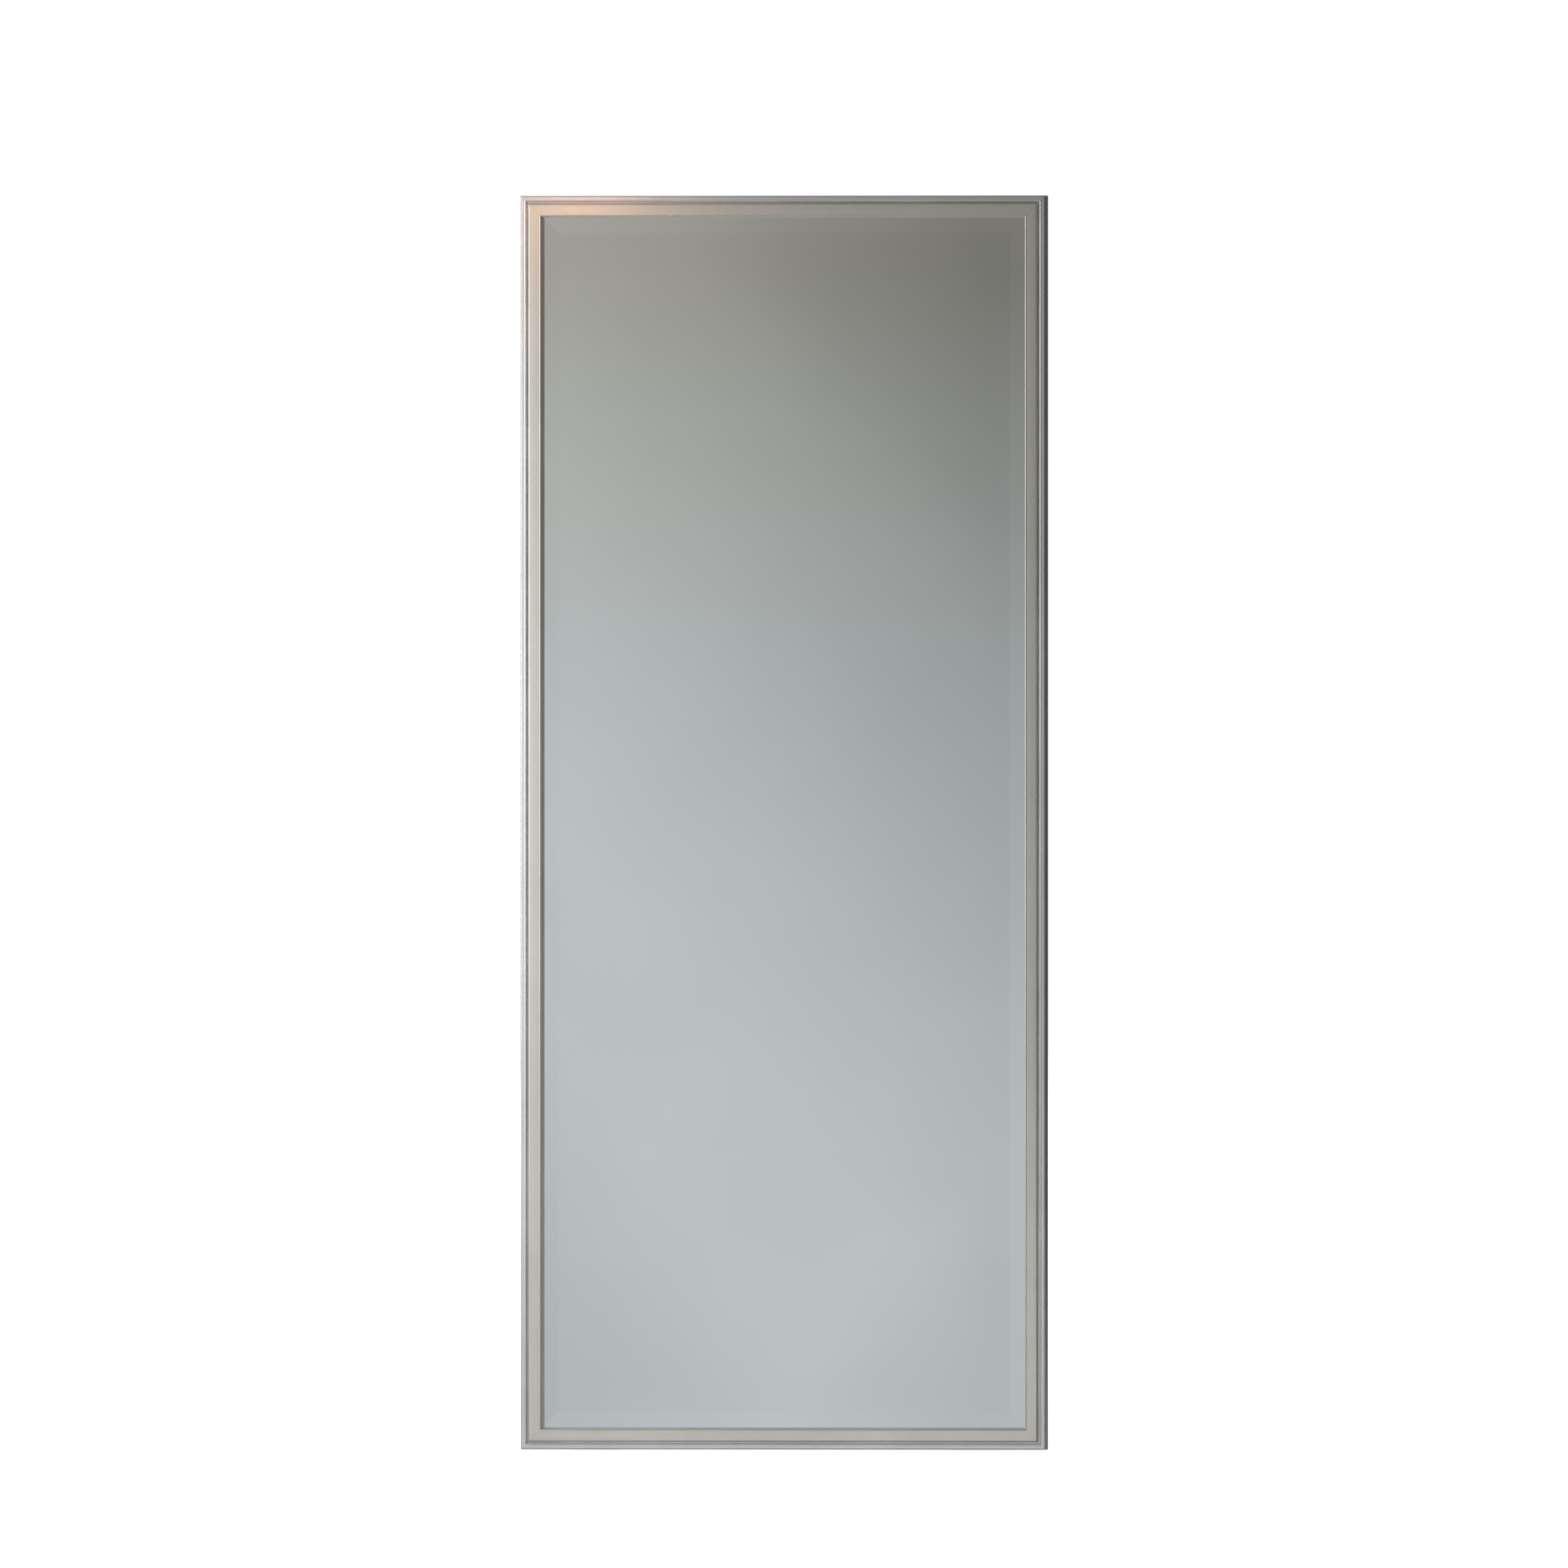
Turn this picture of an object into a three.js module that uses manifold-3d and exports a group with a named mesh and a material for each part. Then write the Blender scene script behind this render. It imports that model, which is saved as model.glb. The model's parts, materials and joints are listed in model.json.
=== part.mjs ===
// A full-length floor mirror: a slim mitred moulding round a bevelled glass, leaning back on a folding
// strut. Millimetres, +Z up. The mirror faces -Y, stands on z = 0 and is centred on the origin.
//
// Everything on the frame is drawn upright in frame axes: X across, Y from the front of the moulding
// towards the back, Z up from the bottom edge. The group that holds it then leans back. The strut is
// drawn as it lies when folded flat, from its hinge axis, and its group is then swung open.

import * as THREE from 'three';
import { ConvexGeometry } from 'three/addons/geometries/ConvexGeometry.js';
import { mergeVertices, toCreasedNormals } from 'three/addons/utils/BufferGeometryUtils.js';
import Module from 'manifold-3d';

// ---------------------------------------------------------------- driving dimensions

const frameWidth = 650;
const frameHeight = 1543;
const frameDepth = 32;
const leanAngle = THREE.MathUtils.degToRad(8);
const strutOpening = THREE.MathUtils.degToRad(15.6);
const gap = 0.3; // between pieces that touch

// Moulding section: distances in from the outer edge, and depths back from the main face.
const mouldingWidth = 26;
const outerRadius = 2;
const lipSetback = 1.2;
const lipWidth = 7.4;
const grooveWidth = 2.8;
const grooveDepth = 4.2;
const arris = 1;
const sightRadius = 1.8;
const sightSlope = 0.7; // how far the inner wall leans in from face to glass
const sightDepth = 13;
const rebateWidth = 5;

// Glass, card liner and backing board, in the rebate.
const glassCover = 4.5; // how much of the glass the rebate hides
const glassThickness = 5;
const glassEdgeThickness = 3.5;
const bevelWidth = 24;
const linerThickness = 2;
const boardThickness = 4;

// Timber behind the frame.
const timberThickness = 20;
const hingeBattenHeight = 70;
const battenEndInset = 7;
const stayBattenHeight = 50;
const strutLegWidth = 34;
const strutLegOffset = 180; // centre of each leg from the middle
const strutTopRailHeight = 60;
const strutLowerRailHeight = 40;
const strutLowerRailDrop = 930; // hinge axis to the middle of the rail
const strutFootThickness = 8;
const strutTopClearance = 1;

// Butt hinges.
const hingeHeight = 1150; // of the axis above the bottom edge
const hingeOffset = 108;
const leafWidth = 60;
const leafHeight = 26;
const leafThickness = 1.5;
const leafScrewX = 19; // each side of the hinge's middle
const leafScrewZ = 15; // from the hinge axis
const knuckleRadius = 3;
const knuckleSplit = 10; // half the width of the middle knuckle
const knuckleClearance = 0.5;
const hingePinRadius = 1.5;
const hingePinHeadRadius = 2.4;
const hingePinHeadLength = 1;
const runningClearance = 0.1;

// Stays: an arm on each side, pinned to the frame, with a pin that slides along the strut's leg.
const stayLength = 170; // pivot to slide pin
const staySwing = THREE.MathUtils.degToRad(55); // from folded to open
const stayPivotDepth = 41;
const stayThickness = 2.5;
const stayWidth = 12;
const slidePinRadius = 2;
const slidePinHeadRadius = 3.5;
const slotClearance = 0.3;
const staySideClearance = 0.6; // between the flat pieces that slide past each other
const pocketClearance = 0.5;
const pocketDepth = 4;
const trackThickness = 1.5;
const trackWidth = 16;
const trackEnd = 14; // plate beyond each end of the slot
const trackScrewInset = 6;
const bracketThickness = 2;
const bracketWidth = 30;
const bracketHeight = 36;
const bracketEarRadius = 7;
const pivotRadius = 2.5;
const pivotHeadRadius = 4.2;
const headThickness = 1.2; // of the pins' and pivots' heads

// Feet, plates and screws.
const frameFootLength = 60;
const frameFootOffset = 235;
const frameFootThickness = 12;
const frameFootTop = 20;
const standDepth = 36; // where the floor meets the plane of the bottom edge
const cornerPlateArm = 52;
const cornerPlateWidth = 12;
const cornerPlateInset = 4;
const cornerPlateThickness = 1.5;
const plateHoles = [26, 48]; // from the corner, along each arm
const plateHoleRadius = 2;
const screwHeadRadius = 3.2;
const screwShankRadius = 1.5;
const screwHeadHeight = 2;
const screwRim = 0.3;
const plateScrewLength = 14;
const battenScrewLength = 34;
const battenScrewInset = 12.5; // from the frame's outer edge
const battenScrewRise = 20; // each side of the hinge batten's middle
const housingScrewLength = 18;
const bracketScrewLength = 9;
const bracketScrewRise = 11;
const trackScrewLength = 12;

// ---------------------------------------------------------------- places that follow from them

const glassBevelDrop = glassThickness - glassEdgeThickness;
const glassFront = sightDepth + gap - glassBevelDrop * (1 - glassCover / bevelWidth);
const glassBack = glassFront + glassThickness;
const linerFront = glassBack + gap;
const boardFront = linerFront + linerThickness + gap;
const recessFront = boardFront + boardThickness + gap;
const timberFront = frameDepth + gap;
const timberBack = timberFront + timberThickness;
const battenHalfLength = frameWidth / 2 - battenEndInset;
const plateFront = timberBack + gap;
const hingeDepth = plateFront + knuckleRadius;

// The stay's pivot lies where its pin meets the middle of the leg both folded and open.
const stayPivotInset = hingeDepth - stayPivotDepth;
const stayReach = stayLength * Math.sin(staySwing) - stayPivotInset;
const stayPivotDrop = (stayReach * Math.cos(strutOpening) + stayPivotInset) / Math.sin(strutOpening)
  - stayLength * Math.cos(staySwing);
const stayPivotHeight = hingeHeight - stayPivotDrop;

// The strut is as long as its sole needs to meet the floor that the frame's feet stand on.
const floorDrop = standDepth * Math.sin(leanAngle);
const hingeAboveFloor = hingeHeight * Math.cos(leanAngle) - hingeDepth * Math.sin(leanAngle) + floorDrop;
const strutSlant = strutOpening - leanAngle;
const legCentre = (timberFront + timberBack) / 2 - hingeDepth;
const strutLength = hingeAboveFloor / Math.cos(strutSlant) + legCentre * Math.tan(strutSlant);

// Across the stay, outwards from the leg: the track, the arm, then the bracket's ear.
const legOuterFace = strutLegOffset + strutLegWidth / 2;
const trackInner = legOuterFace + gap;
const trackOuter = trackInner + trackThickness;
const armInner = trackOuter + staySideClearance;
const armOuter = armInner + stayThickness;
const earInner = armOuter + staySideClearance;
const earOuter = earInner + bracketThickness;

// ---------------------------------------------------------------- materials

function finish(color, roughness, metalness) {
  return new THREE.MeshStandardMaterial({ color, roughness, metalness });
}

const champagne = finish(0xb9b4a6, 0.35, 0.6);
const silvered = finish(0xb4babd, 0.04, 1);
const card = finish(0xb99a6e, 0.9, 0);
const fibreboard = finish(0x8a6a48, 0.85, 0);
const timber = finish(0x5a3d28, 0.55, 0);
const zinc = finish(0xa9adb0, 0.4, 0.9);
const rubber = finish(0x1c1c1c, 0.85, 0);

// ---------------------------------------------------------------- solids

const wasm = await Module();
wasm.setup();

// A closed geometry as a solid. Triangles that collapse at a lathe's poles are dropped.
function toSolid(geometry) {
  const bare = geometry.clone();
  bare.deleteAttribute('normal');
  bare.deleteAttribute('uv');
  const merged = mergeVertices(bare);
  const kept = [];
  for (let i = 0; i < merged.index.count; i += 3) {
    const [a, b, c] = merged.index.array.slice(i, i + 3);
    if (a !== b && b !== c && c !== a) {
      kept.push(a, b, c);
    }
  }
  return new wasm.Manifold(new wasm.Mesh({
    numProp: 3,
    vertProperties: new Float32Array(merged.attributes.position.array),
    triVerts: new Uint32Array(kept),
  }));
}

function fromSolid(solid) {
  const made = solid.getMesh();
  const geometry = new THREE.BufferGeometry();
  geometry.setAttribute('position', new THREE.BufferAttribute(made.vertProperties, 3));
  geometry.setIndex(new THREE.BufferAttribute(made.triVerts, 1));
  return toCreasedNormals(geometry, Math.PI / 6);
}

function join(pieces) {
  return fromSolid(pieces.map(toSolid).reduce((whole, piece) => whole.add(piece)));
}

function cut(geometry, tools) {
  return fromSolid(tools.map(toSolid).reduce((rest, tool) => rest.subtract(tool), toSolid(geometry)));
}

// A block between two corners.
function block(x0, x1, y0, y1, z0, z1) {
  const geometry = new THREE.BoxGeometry(x1 - x0, y1 - y0, z1 - z0);
  return geometry.translate((x0 + x1) / 2, (y0 + y1) / 2, (z0 + z1) / 2);
}

// A round bar along X.
function bar(radius, x0, x1, y = 0, z = 0, sides = 20) {
  const geometry = new THREE.CylinderGeometry(radius, radius, x1 - x0, sides);
  return geometry.rotateZ(Math.PI / 2).translate((x0 + x1) / 2, y, z);
}

// A flat outline in (y, z), extruded along X from x0 to x1.
function slabAlongX(outline, x0, x1) {
  const options = { depth: x1 - x0, bevelEnabled: false, curveSegments: 8 };
  const geometry = new THREE.ExtrudeGeometry(outline, options);
  const turn = new THREE.Matrix4().makeBasis(
    new THREE.Vector3(0, 1, 0),
    new THREE.Vector3(0, 0, 1),
    new THREE.Vector3(1, 0, 0),
  );
  return geometry.applyMatrix4(turn).translate(x0, 0, 0);
}

function corners(pointList) {
  return pointList.map(([x, y, z]) => new THREE.Vector3(x, y, z));
}

// Mirrors a piece drawn on the right to the left, keeping its faces outward.
function onSide(geometry, side) {
  if (side > 0) {
    return geometry;
  }
  const flipped = geometry.index ? geometry.toNonIndexed() : geometry.clone();
  flipped.scale(-1, 1, 1);
  const places = flipped.attributes.position;
  for (let i = 0; i < places.count; i += 3) {
    const second = new THREE.Vector3().fromBufferAttribute(places, i + 1);
    const third = new THREE.Vector3().fromBufferAttribute(places, i + 2);
    places.setXYZ(i + 1, third.x, third.y, third.z);
    places.setXYZ(i + 2, second.x, second.y, second.z);
  }
  flipped.computeVertexNormals();
  return flipped;
}

// ---------------------------------------------------------------- scene graph

const floorMirror = new THREE.Group();
const frame = new THREE.Group();
frame.rotation.x = -leanAngle;
floorMirror.add(frame);

const strut = new THREE.Group();
strut.position.set(0, hingeDepth, hingeHeight);
strut.rotation.x = strutOpening;
frame.add(strut);

const stays = new THREE.Group();
stays.position.set(0, stayPivotDepth, stayPivotHeight);
stays.rotation.x = staySwing;
frame.add(stays);

function put(group, name, geometry, material) {
  const mesh = new THREE.Mesh(geometry, material);
  mesh.name = name;
  group.add(mesh);
  return mesh;
}

const sides = [[-1, 'left'], [1, 'right']];

// ---------------------------------------------------------------- screws

// A countersunk screw along Y, its head flush with y = 0 and its point towards -Y. With a clearance
// it is the hole that the screw sits in, open above the head.
function screw(length, clearance = 0) {
  const head = screwHeadRadius + clearance;
  const shank = screwShankRadius + clearance;
  const top = clearance > 0 ? 1 : 0;
  const profile = [
    [0, -length - clearance],
    [shank, -length + screwShankRadius],
    [shank, -screwHeadHeight - clearance],
    [head, -screwRim - clearance],
    [head, top],
    [0, top],
  ];
  return new THREE.LatheGeometry(profile.map(([r, y]) => new THREE.Vector2(r, y)), 12);
}

// Puts a screw in from behind at each place, and gives back the holes they need.
function screwsFromBehind(group, name, places, length, material = zinc) {
  return places.map(([x, y, z], i) => {
    put(group, `${name}_${i + 1}`, screw(length), material).position.set(x, y, z);
    return screw(length, gap).translate(x, y, z);
  });
}

// ---------------------------------------------------------------- moulding

function mouldingSection() {
  const lipEnd = lipWidth;
  const faceStart = lipWidth + grooveWidth;
  const wallTop = mouldingWidth - sightSlope;
  const section = new THREE.Shape();
  section.moveTo(0, frameDepth);
  section.lineTo(0, lipSetback + outerRadius);
  section.absarc(outerRadius, lipSetback + outerRadius, outerRadius, Math.PI, 1.5 * Math.PI);
  section.lineTo(lipEnd - arris, lipSetback);
  section.lineTo(lipEnd, lipSetback + arris);
  section.lineTo(lipEnd, grooveDepth);
  section.lineTo(faceStart, grooveDepth);
  section.lineTo(faceStart, arris);
  section.lineTo(faceStart + arris, 0);
  section.lineTo(wallTop - sightRadius, 0);
  section.absarc(wallTop - sightRadius, sightRadius, sightRadius, 1.5 * Math.PI, 2 * Math.PI);
  section.lineTo(mouldingWidth, sightDepth);
  section.lineTo(mouldingWidth - rebateWidth, sightDepth);
  section.lineTo(mouldingWidth - rebateWidth, frameDepth);
  return section;
}

// A length of moulding along X, its outer edge on z = 0 and its ends cut back at 45 degrees.
function mitredMoulding(length) {
  const geometry = new THREE.ExtrudeGeometry(mouldingSection(), {
    depth: length,
    bevelEnabled: false,
    curveSegments: 5,
  });
  const places = geometry.attributes.position;
  for (let i = 0; i < places.count; i += 1) {
    const setback = places.getX(i) + gap / Math.SQRT2;
    const along = places.getZ(i);
    places.setZ(i, along > 0 ? along - setback : along + setback);
  }
  geometry.translate(0, 0, -length / 2);
  const turn = new THREE.Matrix4().makeBasis(
    new THREE.Vector3(0, 0, 1),
    new THREE.Vector3(0, 1, 0),
    new THREE.Vector3(-1, 0, 0),
  );
  geometry.applyMatrix4(turn);
  geometry.computeVertexNormals();
  return geometry;
}

const hingeBattenMiddle = hingeHeight + strutTopClearance + hingeBattenHeight / 2;
const battenScrewX = frameWidth / 2 - battenScrewInset;

// The hinge batten lies over the stiles and is screwed into them, two screws to an end.
const hingeBattenHoles = screwsFromBehind(
  frame,
  'hinge_batten_screw',
  sides.flatMap(([side]) => [-battenScrewRise, battenScrewRise].map(
    (rise) => [side * battenScrewX, timberBack, hingeBattenMiddle + rise],
  )),
  battenScrewLength,
);

// The stay batten is housed into the stiles flush with their backs, one screw to an end.
const stayBattenHoles = screwsFromBehind(
  frame,
  'stay_batten_screw',
  sides.map(([side]) => [side * battenScrewX, frameDepth, stayPivotHeight]),
  housingScrewLength,
);

const stayBattenHousing = block(
  -battenHalfLength - gap,
  battenHalfLength + gap,
  recessFront - gap,
  frameDepth + gap,
  stayPivotHeight - stayBattenHeight / 2 - gap,
  stayPivotHeight + stayBattenHeight / 2 + gap,
);

// The stiles are turned upright before their housings and holes are cut in frame axes.
for (const [side, word] of sides) {
  const upright = mitredMoulding(frameHeight).rotateY(-side * Math.PI / 2);
  upright.translate(side * frameWidth / 2, 0, frameHeight / 2);
  const holes = [...hingeBattenHoles, ...stayBattenHoles];
  put(frame, `${word}_stile`, cut(upright, [stayBattenHousing, ...holes]), champagne);
}

put(frame, 'bottom_rail', mitredMoulding(frameWidth), champagne);

const topRail = put(frame, 'top_rail', mitredMoulding(frameWidth), champagne);
topRail.position.z = frameHeight;
topRail.rotation.y = Math.PI;

// ---------------------------------------------------------------- glass, liner and board

const packetHalfWidth = frameWidth / 2 - mouldingWidth + glassCover;
const packetBottom = mouldingWidth - glassCover;
const packetTop = frameHeight - packetBottom;

// The four corners of the packet at one depth, drawn in by an inset.
function packetRectangle(depth, inset) {
  const x = packetHalfWidth - inset;
  const low = packetBottom + inset;
  const high = packetTop - inset;
  return corners([[-x, depth, low], [x, depth, low], [x, depth, high], [-x, depth, high]]);
}

put(frame, 'mirror_glass', new ConvexGeometry([
  ...packetRectangle(glassFront, bevelWidth),
  ...packetRectangle(glassFront + glassBevelDrop, 0),
  ...packetRectangle(glassBack, 0),
]), silvered);

put(
  frame,
  'card_liner',
  block(-packetHalfWidth, packetHalfWidth, linerFront, linerFront + linerThickness, packetBottom, packetTop),
  card,
);

put(
  frame,
  'backing_board',
  block(-packetHalfWidth, packetHalfWidth, boardFront, boardFront + boardThickness, packetBottom, packetTop),
  fibreboard,
);

// ---------------------------------------------------------------- hinges

// One leaf of a butt hinge about its own axis: the frame's leaf rises and has the two outer
// knuckles, and the strut's leaf hangs and has the middle one.
function hingeLeaf(rises) {
  const half = leafWidth / 2;
  const split = knuckleSplit + (rises ? gap / 2 : -gap / 2);
  const knuckles = rises
    ? [bar(knuckleRadius, -half, -split), bar(knuckleRadius, split, half)]
    : [bar(knuckleRadius, -split, split)];
  const reach = rises ? leafHeight : -leafHeight;
  const back = leafThickness - knuckleRadius;
  const plate = block(-half, half, -knuckleRadius, back, Math.min(0, reach), Math.max(0, reach));
  const clear = knuckleRadius + knuckleClearance;
  const notch = (x0, x1) => block(x0, x1, -knuckleRadius - 1, 0, rises ? -1 : -clear, rises ? clear : 1);
  const notches = rises
    ? [notch(-split, split)]
    : [notch(-half - 1, -split), notch(split, half + 1)];
  const bore = bar(hingePinRadius + runningClearance, -half - 1, half + 1);
  return cut(join([cut(plate, notches), ...knuckles]), [bore]);
}

// A rod with a small head at each end.
function hingePin() {
  const half = leafWidth / 2 + gap;
  const end = half + hingePinHeadLength;
  const profile = [
    [0, -end],
    [hingePinHeadRadius, -end],
    [hingePinHeadRadius, -half],
    [hingePinRadius, -half],
    [hingePinRadius, half],
    [hingePinHeadRadius, half],
    [hingePinHeadRadius, end],
    [0, end],
  ];
  return new THREE.LatheGeometry(profile.map(([r, y]) => new THREE.Vector2(r, y)), 20).rotateZ(Math.PI / 2);
}

const leafBack = leafThickness - knuckleRadius;

function leafScrewPlaces(side, depth, middle) {
  return [-leafScrewX, leafScrewX].map((across) => [side * hingeOffset + across, depth, middle]);
}

const frameLeafHoles = [];
const strutLeafHoles = [];
for (const [side, word] of sides) {
  frameLeafHoles.push(...screwsFromBehind(
    frame,
    `${word}_frame_leaf_screw`,
    leafScrewPlaces(side, hingeDepth + leafBack, hingeHeight + leafScrewZ),
    plateScrewLength,
  ));
  strutLeafHoles.push(...screwsFromBehind(
    strut,
    `${word}_strut_leaf_screw`,
    leafScrewPlaces(side, leafBack, -leafScrewZ),
    plateScrewLength,
  ));
}

for (const [side, word] of sides) {
  const across = side * hingeOffset;
  const frameLeaf = hingeLeaf(true).translate(across, hingeDepth, hingeHeight);
  put(frame, `${word}_hinge_frame_leaf`, cut(frameLeaf, frameLeafHoles), zinc);
  put(frame, `${word}_hinge_pin`, hingePin(), zinc).position.set(across, hingeDepth, hingeHeight);
  put(strut, `${word}_hinge_strut_leaf`, cut(hingeLeaf(false).translate(across, 0, 0), strutLeafHoles), zinc);
}

// ---------------------------------------------------------------- battens

const hingeBatten = block(
  -battenHalfLength,
  battenHalfLength,
  timberFront,
  timberBack,
  hingeBattenMiddle - hingeBattenHeight / 2,
  hingeBattenMiddle + hingeBattenHeight / 2,
);
put(frame, 'hinge_batten', cut(hingeBatten, [...hingeBattenHoles, ...frameLeafHoles]), timber);

const bracketScrewX = earOuter + bracketWidth / 2;
const bracketHoles = [];
for (const [side, word] of sides) {
  bracketHoles.push(...screwsFromBehind(
    frame,
    `${word}_bracket_screw`,
    [-bracketScrewRise, bracketScrewRise].map(
      (rise) => [side * bracketScrewX, timberFront + bracketThickness, stayPivotHeight + rise],
    ),
    bracketScrewLength,
  ));
}

const stayBatten = block(
  -battenHalfLength,
  battenHalfLength,
  recessFront,
  frameDepth,
  stayPivotHeight - stayBattenHeight / 2,
  stayPivotHeight + stayBattenHeight / 2,
);
put(frame, 'stay_batten', cut(stayBatten, [...stayBattenHoles, ...bracketHoles]), timber);

// ---------------------------------------------------------------- strut

const strutFront = timberFront - hingeDepth;
const strutBack = timberBack - hingeDepth;
const legInnerFace = strutLegOffset - strutLegWidth / 2;

// Where the slide pin is on the folded strut, seen from the hinge axis, as the strut goes from
// open (0) to folded (1). Strut and stay keep a constant ratio, which the curve of the slot sets.
function slidePinOnStrut(folded) {
  const arm = staySwing * (1 - folded);
  const opening = strutOpening * (1 - folded);
  const y = stayLength * Math.sin(arm) - stayPivotInset;
  const z = -stayPivotDrop - stayLength * Math.cos(arm);
  return new THREE.Vector2(y, z).rotateAround(new THREE.Vector2(), -opening);
}

// The outline of a round-ended slot along the pin's path: down one side, round the lower end, up the
// other side and round the upper end.
function slotOutline(halfWidth) {
  const steps = 8;
  const path = Array.from({ length: steps + 1 }, (_, i) => slidePinOnStrut(i / steps));
  const heading = (i) => path[Math.min(i + 1, steps)].clone().sub(path[Math.max(i - 1, 0)]).angle();
  const beside = (i, angle) => new THREE.Vector2(
    path[i].x + halfWidth * Math.cos(angle),
    path[i].y + halfWidth * Math.sin(angle),
  );
  const quarter = Math.PI / 2;
  const outline = [];
  for (let i = 0; i <= steps; i += 1) {
    outline.push(beside(i, heading(i) - quarter));
  }
  for (let i = 1; i < steps; i += 1) {
    outline.push(beside(steps, heading(steps) - quarter + i * Math.PI / steps));
  }
  for (let i = steps; i >= 0; i -= 1) {
    outline.push(beside(i, heading(i) + quarter));
  }
  for (let i = 1; i < steps; i += 1) {
    outline.push(beside(0, heading(0) + quarter + i * Math.PI / steps));
  }
  return outline;
}

const slotTop = slidePinOnStrut(0).y;
const slotBottom = slidePinOnStrut(1).y;
const trackMiddle = (strutFront + strutBack) / 2;
const trackScrewHeights = [slotTop + trackEnd - trackScrewInset, slotBottom - trackEnd + trackScrewInset];

// A flat plate on the leg's outer face with the slot cut through it.
function stayTrack() {
  const front = trackMiddle - trackWidth / 2;
  const back = trackMiddle + trackWidth / 2;
  const plate = new THREE.Shape([
    new THREE.Vector2(front, slotBottom - trackEnd),
    new THREE.Vector2(back, slotBottom - trackEnd),
    new THREE.Vector2(back, slotTop + trackEnd),
    new THREE.Vector2(front, slotTop + trackEnd),
  ]);
  plate.holes.push(new THREE.Path(slotOutline(slidePinRadius + slotClearance)));
  return slabAlongX(plate, trackInner, trackOuter);
}

for (const [side, word] of sides) {
  const trackHoles = trackScrewHeights.map((height, i) => {
    const fixing = put(strut, `${word}_track_screw_${i + 1}`, screw(trackScrewLength), zinc);
    fixing.position.set(side * trackOuter, trackMiddle, height);
    fixing.rotation.z = -side * Math.PI / 2;
    return screw(trackScrewLength, gap).rotateZ(-Math.PI / 2).translate(trackOuter, trackMiddle, height);
  });
  const pocket = slabAlongX(
    new THREE.Shape(slotOutline(slidePinHeadRadius + pocketClearance)),
    legOuterFace - pocketDepth,
    legOuterFace + 1,
  );
  const leg = block(
    legInnerFace,
    legOuterFace,
    strutFront,
    strutBack,
    strutFootThickness - strutLength,
    -strutTopClearance,
  );
  put(strut, `${word}_strut_leg`, onSide(cut(leg, [pocket, ...trackHoles]), side), timber);
  put(strut, `${word}_stay_track`, onSide(cut(stayTrack(), trackHoles), side), zinc);
}

function strutRail(top, height) {
  const half = legInnerFace - gap;
  return block(-half, half, strutFront, strutBack, top - height, top);
}

put(strut, 'strut_top_rail', cut(strutRail(-strutTopClearance, strutTopRailHeight), strutLeafHoles), timber);
put(
  strut,
  'strut_lower_rail',
  strutRail(-strutLowerRailDrop + strutLowerRailHeight / 2, strutLowerRailHeight),
  timber,
);

// ---------------------------------------------------------------- stays

for (const [side, word] of sides) {
  const armOutline = new THREE.Shape();
  armOutline.absarc(0, 0, stayWidth / 2, 0, Math.PI);
  armOutline.absarc(0, -stayLength, stayWidth / 2, Math.PI, 2 * Math.PI);
  const eyes = [
    bar(pivotRadius + runningClearance, armInner - 1, armOuter + 1, 0, 0),
    bar(slidePinRadius + gap, armInner - 1, armOuter + 1, 0, -stayLength),
  ];
  const arm = cut(slabAlongX(armOutline, armInner, armOuter), eyes);
  put(stays, `${word}_stay_arm`, onSide(arm, side), zinc);

  // The pin is riveted through the arm, and its inner head runs in the leg's pocket.
  const headInner = legOuterFace - pocketDepth / 2;
  const capInner = armOuter + gap;
  const pinHead = bar(slidePinHeadRadius, headInner, headInner + headThickness);
  const pinShank = bar(slidePinRadius, headInner + headThickness / 2, capInner + headThickness / 2);
  const pinCap = bar(slidePinHeadRadius, capInner, capInner + headThickness);
  const pin = onSide(join([pinHead, pinShank, pinCap]), side);
  put(stays, `${word}_slide_pin`, pin, zinc).position.z = -stayLength;
}

// An angle bracket: a flange on the batten and an ear that holds the stay's pivot.
function stayBracket() {
  const flange = block(
    earInner,
    earInner + bracketWidth,
    timberFront,
    timberFront + bracketThickness,
    -bracketHeight / 2,
    bracketHeight / 2,
  );
  const ear = block(earInner, earOuter, timberFront, stayPivotDepth, -bracketEarRadius, bracketEarRadius);
  const earEnd = bar(bracketEarRadius, earInner, earOuter, stayPivotDepth, 0, 24);
  const eye = bar(pivotRadius + gap, earInner - 1, earOuter + 1, stayPivotDepth, 0);
  return cut(join([flange, ear, earEnd]), [eye]).translate(0, 0, stayPivotHeight);
}

for (const [side, word] of sides) {
  put(frame, `${word}_stay_bracket`, cut(onSide(stayBracket(), side), bracketHoles), zinc);

  const innerFace = armInner - gap;
  const outerFace = earOuter + gap;
  const rivetShank = bar(pivotRadius, innerFace - headThickness / 2, outerFace + headThickness / 2);
  const innerHead = bar(pivotHeadRadius, innerFace - headThickness, innerFace);
  const outerHead = bar(pivotHeadRadius, outerFace, outerFace + headThickness);
  const rivet = onSide(join([rivetShank, innerHead, outerHead]), side);
  put(frame, `${word}_stay_pivot`, rivet, zinc).position.set(0, stayPivotDepth, stayPivotHeight);
}

// ---------------------------------------------------------------- feet

// A block behind the bottom rail, hidden by it, its sole cut flat to the floor.
function frameFoot(side) {
  const x0 = side * frameFootOffset - frameFootLength / 2;
  const x1 = x0 + frameFootLength;
  const front = timberFront;
  const back = timberFront + frameFootThickness;
  const sole = (y) => (y - standDepth) * Math.tan(leanAngle);
  const outline = [[front, frameFootTop], [back, frameFootTop], [back, sole(back)], [front, sole(front)]];
  return new ConvexGeometry(corners(outline.flatMap(([y, z]) => [[x0, y, z], [x1, y, z]])));
}

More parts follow.
